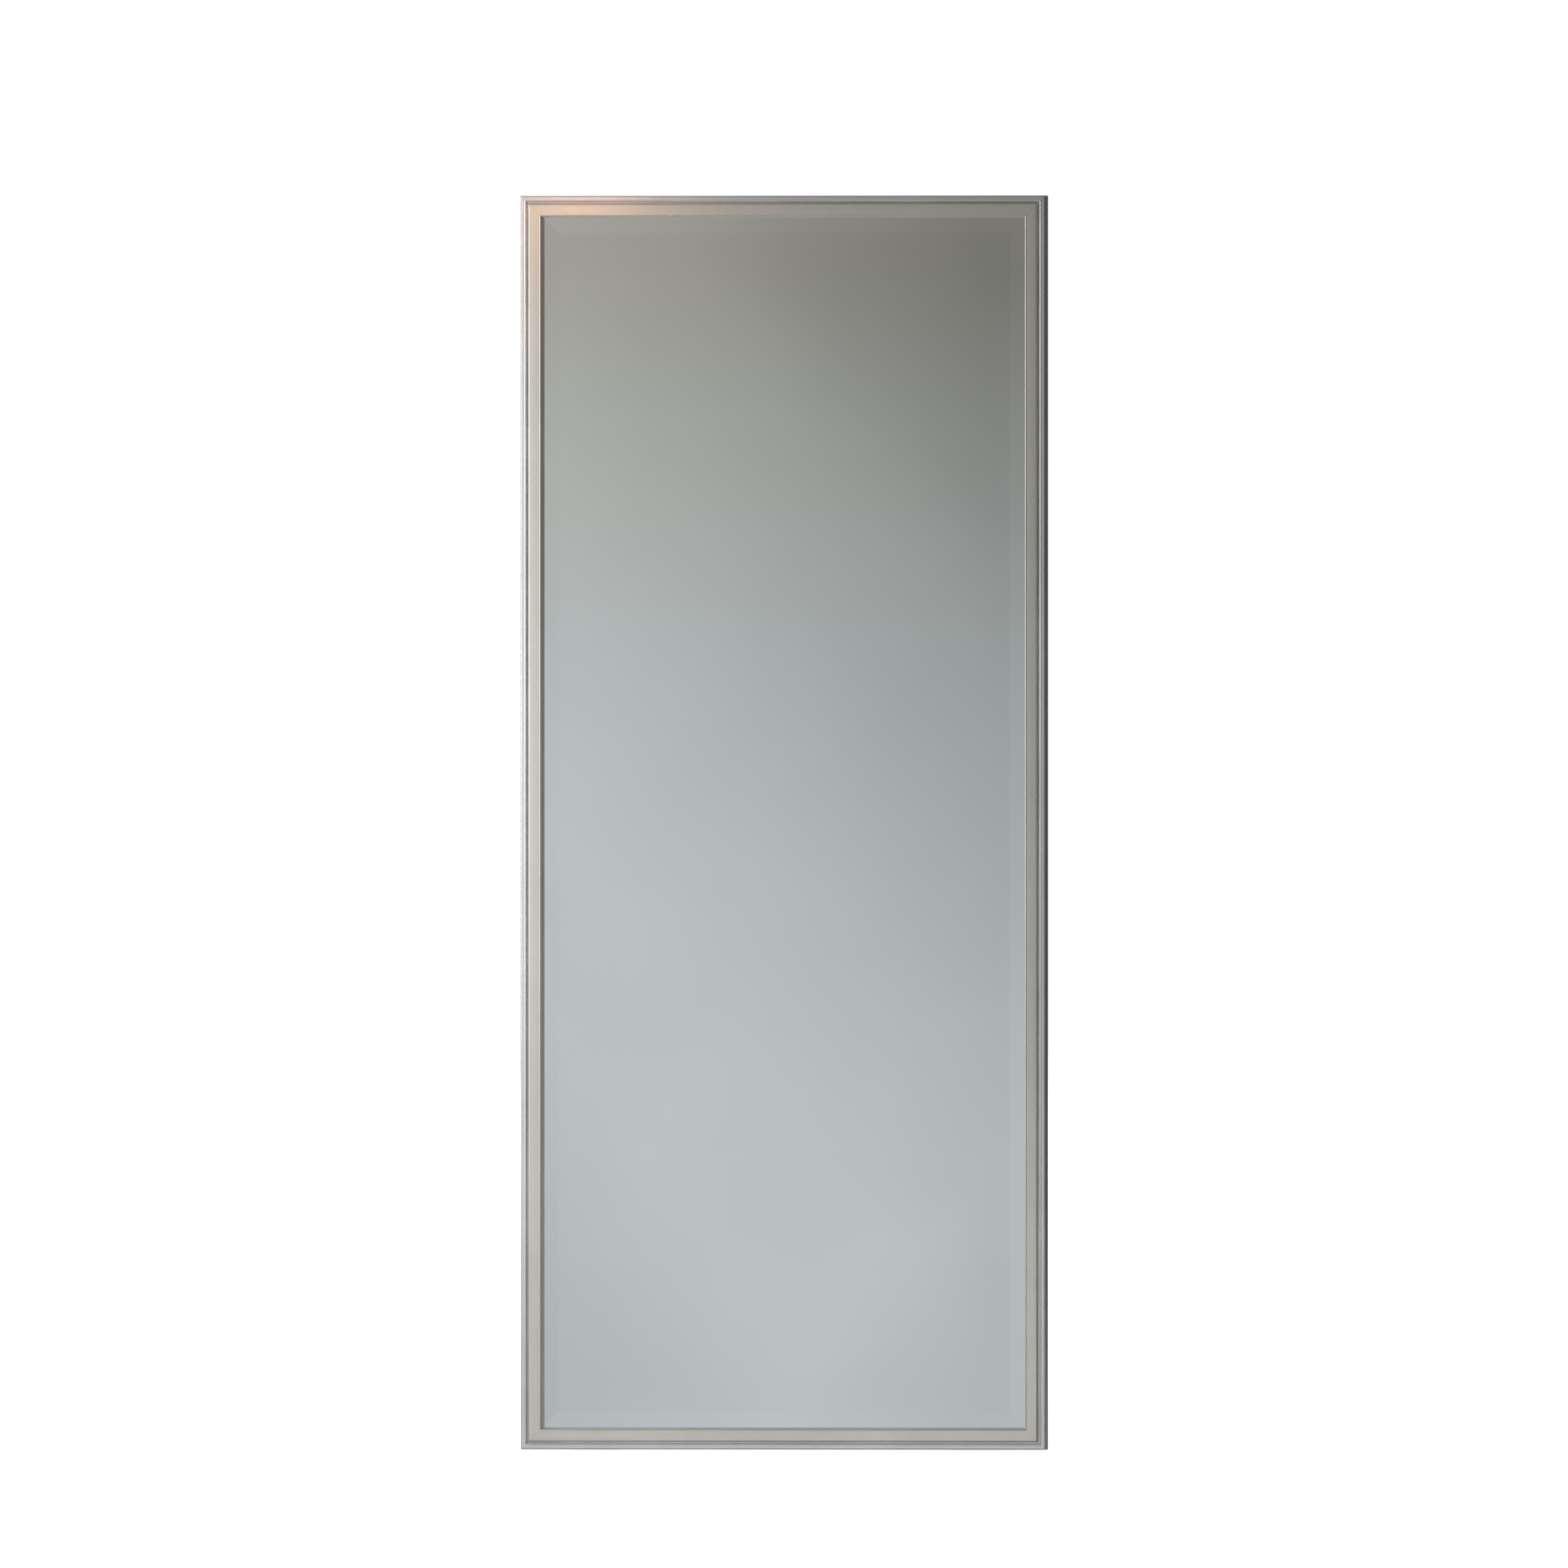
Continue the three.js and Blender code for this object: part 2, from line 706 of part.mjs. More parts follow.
// A block on the end of a strut leg, its sole flat on the floor while the strut is open.
function strutFoot(side) {
  const x0 = side * strutLegOffset - strutLegWidth / 2;
  const x1 = x0 + strutLegWidth;
  const legEnd = strutFootThickness - strutLength - gap;
  const soleTilt = (y) => -strutLength - (y - legCentre) * Math.tan(strutSlant);
  const outline = [
    [strutFront, legEnd],
    [strutBack, legEnd],
    [strutBack, soleTilt(strutBack)],
    [strutFront, soleTilt(strutFront)],
  ];
  return new ConvexGeometry(corners(outline.flatMap(([y, z]) => [[x0, y, z], [x1, y, z]])));
}

for (const [side, word] of sides) {
  put(frame, `${word}_frame_foot`, frameFoot(side), rubber);
  put(strut, `${word}_strut_foot`, strutFoot(side), rubber);
}

// ---------------------------------------------------------------- corner plates

// A flat steel angle over each mitre, drawn in (x, z) from the corner that it covers.
function cornerPlate() {
  const near = cornerPlateInset;
  const far = cornerPlateInset + cornerPlateArm;
  const inner = cornerPlateInset + cornerPlateWidth;
  const outline = new THREE.Shape([
    new THREE.Vector2(near, near),
    new THREE.Vector2(far, near),
    new THREE.Vector2(far, inner),
    new THREE.Vector2(inner, inner),
    new THREE.Vector2(inner, far),
    new THREE.Vector2(near, far),
  ]);
  const middle = (near + inner) / 2;
  for (const along of plateHoles) {
    for (const [x, z] of [[along, middle], [middle, along]]) {
      const hole = new THREE.Path();
      hole.absarc(x, z, plateHoleRadius, 0, 2 * Math.PI);
      outline.holes.push(hole);
    }
  }
  const options = { depth: cornerPlateThickness, bevelEnabled: false, curveSegments: 8 };
  return new THREE.ExtrudeGeometry(outline, options).rotateX(Math.PI / 2);
}

const quarterTurn = Math.PI / 2;
const frameCorners = [
  ['lower_left', -1, 0, 0],
  ['lower_right', 1, 0, -quarterTurn],
  ['upper_right', 1, frameHeight, 2 * quarterTurn],
  ['upper_left', -1, frameHeight, quarterTurn],
];
for (const [word, side, height, turn] of frameCorners) {
  const plate = put(frame, `${word}_corner_plate`, cornerPlate(), zinc);
  plate.position.set(side * frameWidth / 2, timberFront + cornerPlateThickness, height);
  plate.rotation.y = turn;
}

// ---------------------------------------------------------------- stand it on the floor

const extent = new THREE.Box3().setFromObject(floorMirror, true);
floorMirror.position.set(0, -(extent.min.y + extent.max.y) / 2, -extent.min.z);
floorMirror.updateMatrixWorld(true);

export default floorMirror;
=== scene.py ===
import json
import math
import random

import bmesh
import bpy
from mathutils import Matrix, Vector


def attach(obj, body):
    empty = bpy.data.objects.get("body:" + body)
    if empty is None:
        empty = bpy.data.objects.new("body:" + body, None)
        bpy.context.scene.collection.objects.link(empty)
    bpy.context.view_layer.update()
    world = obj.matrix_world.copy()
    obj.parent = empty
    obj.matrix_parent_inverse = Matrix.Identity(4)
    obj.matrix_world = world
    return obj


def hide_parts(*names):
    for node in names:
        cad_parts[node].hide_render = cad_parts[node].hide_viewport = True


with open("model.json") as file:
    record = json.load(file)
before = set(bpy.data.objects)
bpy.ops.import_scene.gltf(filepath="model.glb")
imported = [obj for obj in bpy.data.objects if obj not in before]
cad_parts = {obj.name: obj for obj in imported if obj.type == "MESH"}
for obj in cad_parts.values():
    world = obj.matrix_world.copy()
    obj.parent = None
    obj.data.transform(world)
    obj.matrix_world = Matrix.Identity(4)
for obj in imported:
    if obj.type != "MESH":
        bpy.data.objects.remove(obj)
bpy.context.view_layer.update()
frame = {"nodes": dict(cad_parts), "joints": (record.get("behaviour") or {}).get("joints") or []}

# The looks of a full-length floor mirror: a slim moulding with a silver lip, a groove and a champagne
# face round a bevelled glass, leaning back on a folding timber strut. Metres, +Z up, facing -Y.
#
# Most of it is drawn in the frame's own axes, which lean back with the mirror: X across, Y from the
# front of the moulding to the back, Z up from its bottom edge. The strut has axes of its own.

MM = 0.001
SIDES = ((-1, "left"), (1, "right"))
rng = random.Random(7)

# ---------------------------------------------------------------- driving dimensions

LEAN = math.radians(8)
STRUT_OPENING = math.radians(15.6)
STAY_SWING = math.radians(55)
HINGE_DEPTH = 55.6 * MM  # hinge axis behind the front of the moulding
HINGE_HEIGHT = 1150 * MM

# Moulding section: distances in from the outer edge, and depths back from the champagne face.
MOULDING_WIDTH = 26 * MM
OUTER_RADIUS = 2.0 * MM
LIP_SETBACK = 1.2 * MM
LIP_WIDTH = 7.4 * MM
GROOVE_WIDTH = 2.3 * MM
GROOVE_DEPTH = 4.2 * MM
GROOVE_FILLET = 0.7 * MM
LIP_BEAD = 1.3 * MM  # radius of the small bead on the lip's inner edge
LIP_BEAD_RISE = 0.4 * MM
FACE_ARRIS = 1.7 * MM
FACE_CROWN = 0.12 * MM
SIGHT_BEAD = 1.0 * MM  # radius of the small bead on the sight edge, the foremost line of the moulding
SIGHT_BEAD_RISE = 0.3 * MM
SIGHT_SLOPE = 0.7 * MM
SIGHT_DEPTH = 13 * MM
WALL_START = (0.02 * MM, 0.3 * MM)  # where the inner wall starts, in and back from the sight bead
REBATE_WIDTH = 5 * MM
BACK_EDGE = 0.6 * MM
MITRE_EASE = 0.12 * MM
MITRE_GAP = 0.03 * MM

GLASS_THICKNESS = 5 * MM
GLASS_EDGE = 3.5 * MM
BEVEL_WIDTH = 24 * MM
BEVEL_ARRIS = 0.35 * MM
GLASS_SEAM = 0.3 * MM  # the small flat ground along its outer edges

# ---------------------------------------------------------------- places

joints = {joint["name"]: joint for joint in frame["joints"]}
lean_back = Matrix.Rotation(-LEAN, 4, "X")
hinge_place = Vector(joints["strut_fold"]["pos_m"])
stay_place = Vector(joints["left_stay_swing"]["pos_m"])
frame_origin = hinge_place - lean_back @ Vector((0, HINGE_DEPTH, HINGE_HEIGHT))
FRAME = Matrix.Translation(frame_origin) @ lean_back
STRUT = Matrix.Translation(hinge_place) @ Matrix.Rotation(STRUT_OPENING - LEAN, 4, "X")
STAYS = Matrix.Translation(stay_place) @ Matrix.Rotation(STAY_SWING - LEAN, 4, "X")


def local_box(node, axes):
    """Lowest and highest corner of a CAD node, in the frame's, the strut's or the stays' own axes."""
    back = axes.inverted()
    points = [back @ v.co for v in frame["nodes"][node].data.vertices]
    return (
        Vector(min(p[i] for p in points) for i in range(3)),
        Vector(max(p[i] for p in points) for i in range(3)),
    )


stile_high = local_box("right_stile", FRAME)[1]
HALF_WIDTH = stile_high.x
HEIGHT = stile_high.z
HALF_HEIGHT = HEIGHT / 2
DEPTH = stile_high.y

# ---------------------------------------------------------------- materials


class Look:
    """One procedural material, built a node at a time."""

    def __init__(self, name, **shader):
        self.material = bpy.data.materials.new(name)
        self.material.use_nodes = True
        self.tree = self.material.node_tree
        self.shader = self.tree.nodes["Principled BSDF"]
        self.feed(self.shader, {key.replace("_", " "): value for key, value in shader.items()})

    def feed(self, node, inputs):
        for key, value in inputs.items():
            if isinstance(value, bpy.types.NodeSocket):
                self.tree.links.new(value, node.inputs[key])
            else:
                node.inputs[key].default_value = value
        return node

    def add(self, kind, inputs=None, **settings):
        node = self.tree.nodes.new("ShaderNode" + kind)
        for key, value in settings.items():
            setattr(node, key, value)
        return self.feed(node, inputs or {})

    def object_axes(self, tilt=0.0, stretch=(1, 1, 1), shift=(0, 0, 0)):
        """Places on the piece, turned back by its tilt about X, then stretched."""
        place = self.add("TexCoord").outputs["Object"]
        turned = self.add("Mapping", {"Vector": place, "Rotation": (-tilt, 0, 0), "Location": shift})
        return self.stretched(turned.outputs["Vector"], stretch)

    def stretched(self, vector, stretch):
        return self.add("Mapping", {"Vector": vector, "Scale": stretch}).outputs["Vector"]

    def run(self, stretch):
        """Places along and round a moulding, in metres."""
        return self.stretched(self.add("UVMap", uv_map="run").outputs["UV"], stretch)

    def noise(self, vector, scale, detail=3.0, roughness=0.55, distortion=0.0):
        inputs = {
            "Vector": vector,
            "Scale": scale,
            "Detail": detail,
            "Roughness": roughness,
            "Distortion": distortion,
        }
        return self.add("TexNoise", inputs).outputs["Fac"]

    def ramp(self, factor, *stops):
        """Colours, or single values, between (place, value) stops."""
        node = self.add("ValToRGB", {"Fac": factor})
        elements = node.color_ramp.elements
        while len(elements) < len(stops):
            elements.new(0.5)
        for element, (place, value) in zip(elements, stops):
            element.position = place
            shade = value if isinstance(value, tuple) else (value, value, value)
            element.color = (*shade, 1)
        return node.outputs["Color"]

    def maths(self, operation, a, b=0.0, clamp=False):
        return self.add("Math", {0: a, 1: b}, operation=operation, use_clamp=clamp).outputs[0]

    def mix(self, factor, a, b, blend="MIX"):
        """Two colours mixed; a plain tuple is a colour of its own."""
        node = self.add("Mix", {0: factor}, data_type="RGBA", blend_type=blend)
        for index, value in ((6, a), (7, b)):
            shade = (*value, 1) if isinstance(value, tuple) else value
            self.feed(node, {index: shade})
        return node.outputs[2]

    def bump(self, height, distance, strength=1.0):
        inputs = {"Height": height, "Distance": distance, "Strength": strength}
        return self.add("Bump", inputs).outputs["Normal"]

    def done(self, colour, roughness, normal=None):
        self.feed(self.shader, {"Base Color": colour, "Roughness": roughness})
        if normal is not None:
            self.feed(self.shader, {"Normal": normal})
        return self.material


def foil(name, light, dark, low, high, metal, speck=0.35):
    """A rubbed metallic leaf: faint streaks along the moulding, clouds, fine specks and satin gloss."""
    look = Look(name, Metallic=metal)
    streaks = look.noise(look.run((5, 700, 1)), 1.0, 4, 0.6)
    clouds = look.noise(look.object_axes(), 14, 3)
    specks = look.noise(look.object_axes(), 900, 2, 0.7)
    tone = look.maths("ADD", look.maths("MULTIPLY", streaks, 0.55), look.maths("MULTIPLY", clouds, 0.45))
    colour = look.mix(look.ramp(tone, (0.36, 0.0), (0.64, 1.0)), dark, light)
    colour = look.mix(look.ramp(specks, (0.30, speck), (0.40, 0.0)), colour, tuple(c * 0.55 for c in dark))
    roughness = look.ramp(tone, (0.35, high), (0.65, low))
    relief = look.maths("ADD", look.maths("MULTIPLY", streaks, 0.6), look.noise(look.object_axes(), 1500, 2))
    return look.done(colour, roughness, look.bump(relief, 0.012 * MM, 0.6))


def wood(name, light, dark, along, tilt, ring_shift, roughness=(0.42, 0.6), stain=0.35):
    """Timber sawn from a ringed trunk, with its grain along one axis of the piece."""
    look = Look(name)
    squash = tuple(0.045 if axis == along else 1.0 for axis in "xyz")
    fibre = tuple(0.02 if axis == along else 1.0 for axis in "xyz")
    place = look.object_axes(tilt, squash, ring_shift)
    rings = look.add(
        "TexWave",
        {"Vector": place, "Scale": 26.0, "Distortion": 3.2, "Detail": 3.0, "Detail Scale": 9.0},
        wave_type="RINGS",
        rings_direction=along.upper(),
        wave_profile="SAW",
    ).outputs["Fac"]
    bands = look.noise(place, 18, 3)
    grain = look.mix(look.ramp(rings, (0.0, 0.25), (0.8, 0.75), (1.0, 0.3)), dark, light)
    grain = look.mix(look.ramp(bands, (0.35, stain), (0.65, 0.0)), grain, dark)
    pores = look.noise(look.object_axes(tilt, fibre), 1400, 2, 0.6)
    deep = tuple(c * 0.4 for c in dark)
    colour = look.mix(look.ramp(pores, (0.28, 0.8), (0.42, 0.0)), grain, deep)
    wear = look.noise(look.object_axes(tilt, fibre), 500, 2)
    shine = look.ramp(wear, (0.3, roughness[1]), (0.7, roughness[0]))
    relief = look.maths("ADD", pores, look.maths("MULTIPLY", rings, 0.25))
    return look.done(colour, shine, look.bump(relief, 0.06 * MM, 0.5))


def hardboard():
    """Pressed fibre: a smooth brown face full of short pale and dark fibres."""
    look = Look("board_fibre")
    place = look.object_axes(-LEAN)
    cloud = look.noise(place, 9, 4)
    mottle = look.noise(place, 260, 4, 0.7, 0.6)
    fibre = look.noise(look.object_axes(-LEAN, (0.25, 1, 1)), 1500, 3, 0.7, 1.5)
    colour = look.mix(look.ramp(cloud, (0.3, 0.0), (0.7, 1.0)), (0.225, 0.137, 0.078), (0.285, 0.182, 0.108))
    colour = look.mix(look.ramp(mottle, (0.4, 0.0), (0.7, 0.55)), colour, (0.37, 0.25, 0.155))
    colour = look.mix(look.ramp(fibre, (0.3, 0.75), (0.42, 0.0)), colour, (0.09, 0.052, 0.03))
    roughness = look.ramp(mottle, (0.3, 0.62), (0.7, 0.78))
    relief = look.maths("ADD", fibre, mottle)
    return look.done(colour, roughness, look.bump(relief, 0.05 * MM, 0.6))


def card_sheet():
    """Corrugated card: fluted brown paper."""
    look = Look("card_flutes")
    place = look.object_axes(-LEAN)
    flutes = look.add("TexWave", {"Vector": place, "Scale": 40.0}, bands_direction="X").outputs["Fac"]
    fibre = look.noise(place, 900, 3)
    colour = look.mix(look.ramp(fibre, (0.3, 0.0), (0.7, 1.0)), (0.40, 0.27, 0.15), (0.50, 0.36, 0.22))
    return look.done(colour, look.ramp(flutes, (0.0, 0.85), (1.0, 0.95)), look.bump(flutes, 0.3 * MM, 0.5))


def zinc_plate():
    """Zinc-plated steel: soft spangles, rolling streaks and small scratches."""
    look = Look("zinc_plate", Metallic=0.95)
    place = look.object_axes()
    spangle = look.add("TexVoronoi", {"Vector": place, "Scale": 420.0}).outputs["Color"]
    cloud = look.noise(place, 90, 4)
    streak = look.noise(look.object_axes(0, (1, 0.04, 0.04)), 1300, 2)
    tone = look.mix(0.18, look.ramp(cloud, (0.3, 0.0), (0.7, 1.0)), spangle)
    colour = look.mix(tone, (0.46, 0.475, 0.49), (0.66, 0.675, 0.68))
    scratch = look.ramp(streak, (0.66, 0.0), (0.70, 1.0))
    colour = look.mix(look.maths("MULTIPLY", scratch, 0.4), colour, (0.80, 0.80, 0.79))
    roughness = look.ramp(look.noise(place, 240, 3), (0.3, 0.30), (0.7, 0.46))
    return look.done(colour, roughness, look.bump(streak, 0.01 * MM, 0.6))


def moulded_rubber():
    """Black rubber with a fine moulded texture and a dusty bloom."""
    look = Look("rubber_grain")
    place = look.object_axes()
    grain = look.noise(place, 1600, 3, 0.7)
    bloom = look.noise(place, 70, 4)
    colour = look.mix(look.ramp(bloom, (0.4, 0.0), (0.75, 0.8)), (0.014, 0.014, 0.015), (0.045, 0.044, 0.042))
    return look.done(colour, look.ramp(bloom, (0.3, 0.62), (0.7, 0.85)), look.bump(grain, 0.05 * MM, 0.7))


def silvering():
    """Silvered glass: nearly a perfect mirror, with the faint haze and cast of real glass."""
    look = Look("silvered_glass", Metallic=1.0)
    haze = look.noise(look.object_axes(), 5, 3)
    dust = look.noise(look.object_axes(), 60, 5, 0.65)
    colour = look.mix(look.ramp(haze, (0.3, 0.0), (0.7, 1.0)), (0.885, 0.905, 0.895), (0.915, 0.930, 0.922))
    return look.done(colour, look.ramp(dust, (0.4, 0.012), (0.75, 0.035)))


SILVER_LIGHT = (0.645, 0.647, 0.657)
SILVER_DARK = (0.55, 0.552, 0.562)
CHAMPAGNE_LIGHT = (0.64, 0.622, 0.568)
CHAMPAGNE_DARK = (0.56, 0.542, 0.490)
PINE_LIGHT = (0.60, 0.44, 0.27)
PINE_DARK = (0.44, 0.29, 0.16)
STAIN_LIGHT = (0.150, 0.078, 0.038)
STAIN_DARK = (0.070, 0.034, 0.016)


def raw_pine(name, along, ring_shift):
    return wood(name, PINE_LIGHT, PINE_DARK, along, 0, ring_shift, (0.6, 0.75), 0.2)


def stained(name, along, tilt, ring_shift):
    return wood(name, STAIN_LIGHT, STAIN_DARK, along, tilt, ring_shift)


# A darker copy of the silver foil for the outer side and most of the outer rounding: painted shade.
silver_side_painted_shade = foil("silver_side_painted_shade", (0.46, 0.46, 0.465), (0.36, 0.36, 0.365), 0.40, 0.50, 0.5)
silver = foil("silver_lip", SILVER_LIGHT, SILVER_DARK, 0.34, 0.44, 0.55)
champagne = foil("champagne_face", CHAMPAGNE_LIGHT, CHAMPAGNE_DARK, 0.36, 0.46, 0.60)
# A lighter, glossier copy of the silver foil for the lip's bead: its lighter colour is a painted highlight.
silver_arris_painted_highlight = foil("silver_arris_painted_highlight", (0.82, 0.82, 0.83), (0.68, 0.68, 0.69), 0.20, 0.28, 0.9, 0.1)
# A lighter, glossier copy of the champagne foil for the face's arris and the sight bead: its lighter colour
# is a painted highlight.
champagne_arris_painted_highlight = foil("champagne_arris_painted_highlight", (0.70, 0.685, 0.635), CHAMPAGNE_LIGHT, 0.26, 0.34, 0.9, 0.1)
groove_glaze = foil("groove_glaze", (0.66, 0.645, 0.62), (0.52, 0.505, 0.48), 0.42, 0.55, 0.55, 0.6)
pine_across = raw_pine("raw_pine_across", "x", (0, 0.05, 0.03))
pine_upright = raw_pine("raw_pine_upright", "z", (0.03, 0.05, 0))
mirror_silver = silvering()
zinc = zinc_plate()
rubber = moulded_rubber()

# ---------------------------------------------------------------- mesh tools

SHARP_ANGLE = 32  # degrees; an edge that turns more than this stays sharp


def arc(centre, radius, start, end, steps):
    """Points on a circle in a flat section, angles in degrees."""
    angles = [math.radians(start + (end - start) * i / steps) for i in range(steps + 1)]
    return [(centre[0] + radius * math.cos(a), centre[1] + radius * math.sin(a)) for a in angles]


def mesh_of(name, bm, *materials, outward=True):
    """A mesh made from a bmesh, which is used up. outward turns every face of a solid outwards."""
    if outward:
        bmesh.ops.recalc_face_normals(bm, faces=bm.faces)
    mesh = bpy.data.meshes.new(name)
    bm.to_mesh(mesh)
    bm.free()
    for material in materials:
        mesh.materials.append(material)
    return mesh


def shaded(mesh, sharp_angle=SHARP_ANGLE):
    mesh.shade_smooth()
    mesh.set_sharp_from_angle(angle=math.radians(sharp_angle))
    return mesh


def placed(name, mesh, axes, body, weighted=True):
    """A piece from a mesh drawn in the given axes, riding on its body."""
    piece = bpy.data.objects.new(name, mesh)
    bpy.context.scene.collection.objects.link(piece)
    piece.matrix_world = axes
    if weighted:
        even = piece.modifiers.new("even_shading", "WEIGHTED_NORMAL")
        even.keep_sharp = True
    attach(piece, body)
    return piece


def join_rings(bm, rings):
    """Quads between rings that have the same number of vertices."""
    count = len(rings[0])
    for below, above in zip(rings, rings[1:]):
        for i in range(count):
            j = (i + 1) % count
            bm.faces.new((below[i], below[j], above[j], above[i]))


def capped(bm, rings):
    """A solid through the rings, with a flat face on the first and the last."""
    join_rings(bm, rings)
    bm.faces.new(rings[0])
    bm.faces.new(rings[-1])


def turns(sides):
    return [2 * math.pi * i / sides for i in range(sides)]


def round_ring(bm, radius, y, sides):
    return [bm.verts.new((radius * math.cos(t), y, radius * math.sin(t))) for t in turns(sides)]


def pointed(bm, rings, first_y, last_y):
    """A solid through the rings, with a fan from the first and the last to a point on the Y axis."""
    join_rings(bm, rings)
    for y, ring in ((first_y, rings[0]), (last_y, rings[-1])):
        tip = bm.verts.new((0, y, 0))
        for i in range(len(ring)):
            bm.faces.new((tip, ring[i], ring[(i + 1) % len(ring)]))


def oblong_ring(bm, half_x, y, half_z, middle=Vector((0, 0, 0))):
    corners = ((-half_x, -half_z), (half_x, -half_z), (half_x, half_z), (-half_x, half_z))
    return [bm.verts.new((middle.x + x, y, middle.z + z)) for x, z in corners]


def boolean(mesh, tool):
    """The mesh with a tool mesh cut from it."""
    body = bpy.data.objects.new("cut_body", mesh)
    cutter = bpy.data.objects.new("cut_tool", tool)
    for item in (body, cutter):
        bpy.context.scene.collection.objects.link(item)
    cut = body.modifiers.new("cut", "BOOLEAN")
    cut.operation = "DIFFERENCE"
    cut.solver = "EXACT"
    cut.object = cutter
    graph = bpy.context.evaluated_depsgraph_get()
    made = bpy.data.meshes.new_from_object(body.evaluated_get(graph))
    bpy.data.objects.remove(body)
    bpy.data.objects.remove(cutter)
    return made


def block_mesh(low, high, zone):
    bm = bmesh.new()
    bmesh.ops.create_cube(bm, size=1)
    for vertex in bm.verts:
        vertex.co = Vector(low[i] if vertex.co[i] < 0 else high[i] for i in range(3))
    for face in bm.faces:
        face.material_index = zone
    return mesh_of("block", bm, outward=False)


# ---------------------------------------------------------------- camera

# The view is square to the mirror's height, from a few degrees to the right, through a very long lens.
VIEW_ANGLE = math.radians(6.5)
VIEW_DISTANCE = 80.0
SENSOR = 36.0
VIEW_WIDTH = 1.9293  # metres across the picture at the mirror
AIM_ABOVE_MIDDLE = 47.6 * MM
AIM_RIGHT = 1.6 * MM

camera_data = bpy.data.cameras.new("camera")
camera_data.sensor_width = SENSOR
camera_data.lens = SENSOR * VIEW_DISTANCE / VIEW_WIDTH
camera_data.clip_start = 1.0
camera_data.clip_end = 2000.0
camera = bpy.data.objects.new("camera", camera_data)
bpy.context.scene.collection.objects.link(camera)
view_axes = FRAME @ Matrix.Translation((AIM_RIGHT, 0, HALF_HEIGHT + AIM_ABOVE_MIDDLE))
view_back = Vector((math.sin(VIEW_ANGLE), -math.cos(VIEW_ANGLE), 0))
camera.matrix_world = (
    view_axes @ Matrix.Translation(view_back * VIEW_DISTANCE)
    @ Matrix.Rotation(VIEW_ANGLE, 4, "Z") @ Matrix.Rotation(math.pi / 2, 4, "X")
)
bpy.context.scene.camera = camera

# ---------------------------------------------------------------- moulding

# Zones of the section. The side zone takes a darker copy of the silver foil, painted shade; the two arris
# zones take lighter copies, painted highlights.
SHADED_SIDE, SILVER, SILVER_ARRIS_PAINTED_HIGHLIGHT, GROOVE, CHAMPAGNE, CHAMPAGNE_ARRIS_PAINTED_HIGHLIGHT, RAW = range(7)
ARC_STEPS = 7
BEAD_STEPS = 12
CROWN_STEPS = 8
OUTER_STEPS = 10
OUTER_SIDE_POINTS = 8  # points of the outer corner's arc that keep the side's darker foil, which is painted shade
STOP_SHORT = 4  # degrees left off the end of an arc that runs on into the next face
HOUSING_ROOM = 0.15 * MM
HOUSING_PAST_BACK = 2 * MM


def moulding_section():
    """The section as (across, depth, zone) points, where a zone is the finish up to the next point."""
    lip = LIP_SETBACK
    groove_end = LIP_WIDTH + GROOVE_WIDTH
    wall_top = MOULDING_WIDTH - SIGHT_SLOPE
    points = []

    def run(zone, pairs):
        points.extend((u, y, zone) for u, y in pairs)

    run(RAW, [(BACK_EDGE, DEPTH)])
    # The outer side and most of the outer rounding take the darker foil: painted shade.
    run(SHADED_SIDE, [(0, DEPTH - BACK_EDGE)])
    outer = arc((OUTER_RADIUS, lip + OUTER_RADIUS), OUTER_RADIUS, 180, 270, OUTER_STEPS)
    run(SHADED_SIDE, outer[:OUTER_SIDE_POINTS])
    run(SILVER, outer[OUTER_SIDE_POINTS:])
    bead_middle = (LIP_WIDTH - LIP_BEAD, lip - LIP_BEAD_RISE + LIP_BEAD)
    bead_start = 180 + math.degrees(math.asin((LIP_BEAD - LIP_BEAD_RISE) / LIP_BEAD))
    # The lip's bead takes the lighter silver foil: painted highlight.
    run(SILVER_ARRIS_PAINTED_HIGHLIGHT, arc(bead_middle, LIP_BEAD, bead_start, 360, BEAD_STEPS))
    inner = GROOVE_DEPTH - GROOVE_FILLET
    run(GROOVE, arc((LIP_WIDTH + GROOVE_FILLET, inner), GROOVE_FILLET, 180, 90, ARC_STEPS))
    run(GROOVE, arc((groove_end - GROOVE_FILLET, inner), GROOVE_FILLET, 90, 0, ARC_STEPS))
    sight_start = 180 + math.degrees(math.asin((SIGHT_BEAD - SIGHT_BEAD_RISE - FACE_CROWN) / SIGHT_BEAD))
    sight_middle = (wall_top - SIGHT_BEAD, SIGHT_BEAD)
    sight_bead = arc(sight_middle, SIGHT_BEAD, sight_start, 360 - STOP_SHORT, BEAD_STEPS)
    face_start, face_end = groove_end + FACE_ARRIS, sight_bead[0][0]
    edge = SIGHT_BEAD_RISE + FACE_CROWN
    face_arris = arc((face_start, edge + FACE_ARRIS), FACE_ARRIS, 180, 270 - STOP_SHORT, ARC_STEPS)
    # The face's arris, and further on the sight bead, take the lighter champagne foil: painted highlight.
    run(CHAMPAGNE_ARRIS_PAINTED_HIGHLIGHT, face_arris[:-1])
    for i in range(CROWN_STEPS):
        share = i / CROWN_STEPS
        crown = FACE_CROWN * (1 - (2 * share - 1) ** 2)
        run(CHAMPAGNE, [(face_start + (face_end - face_start) * share, edge - crown)])
    run(CHAMPAGNE_ARRIS_PAINTED_HIGHLIGHT, sight_bead)
    run(CHAMPAGNE, [(wall_top + WALL_START[0], SIGHT_BEAD + WALL_START[1])])
    run(RAW, [(MOULDING_WIDTH, SIGHT_DEPTH)])
    run(RAW, [(MOULDING_WIDTH - REBATE_WIDTH, SIGHT_DEPTH), (MOULDING_WIDTH - REBATE_WIDTH, DEPTH)])
    return points


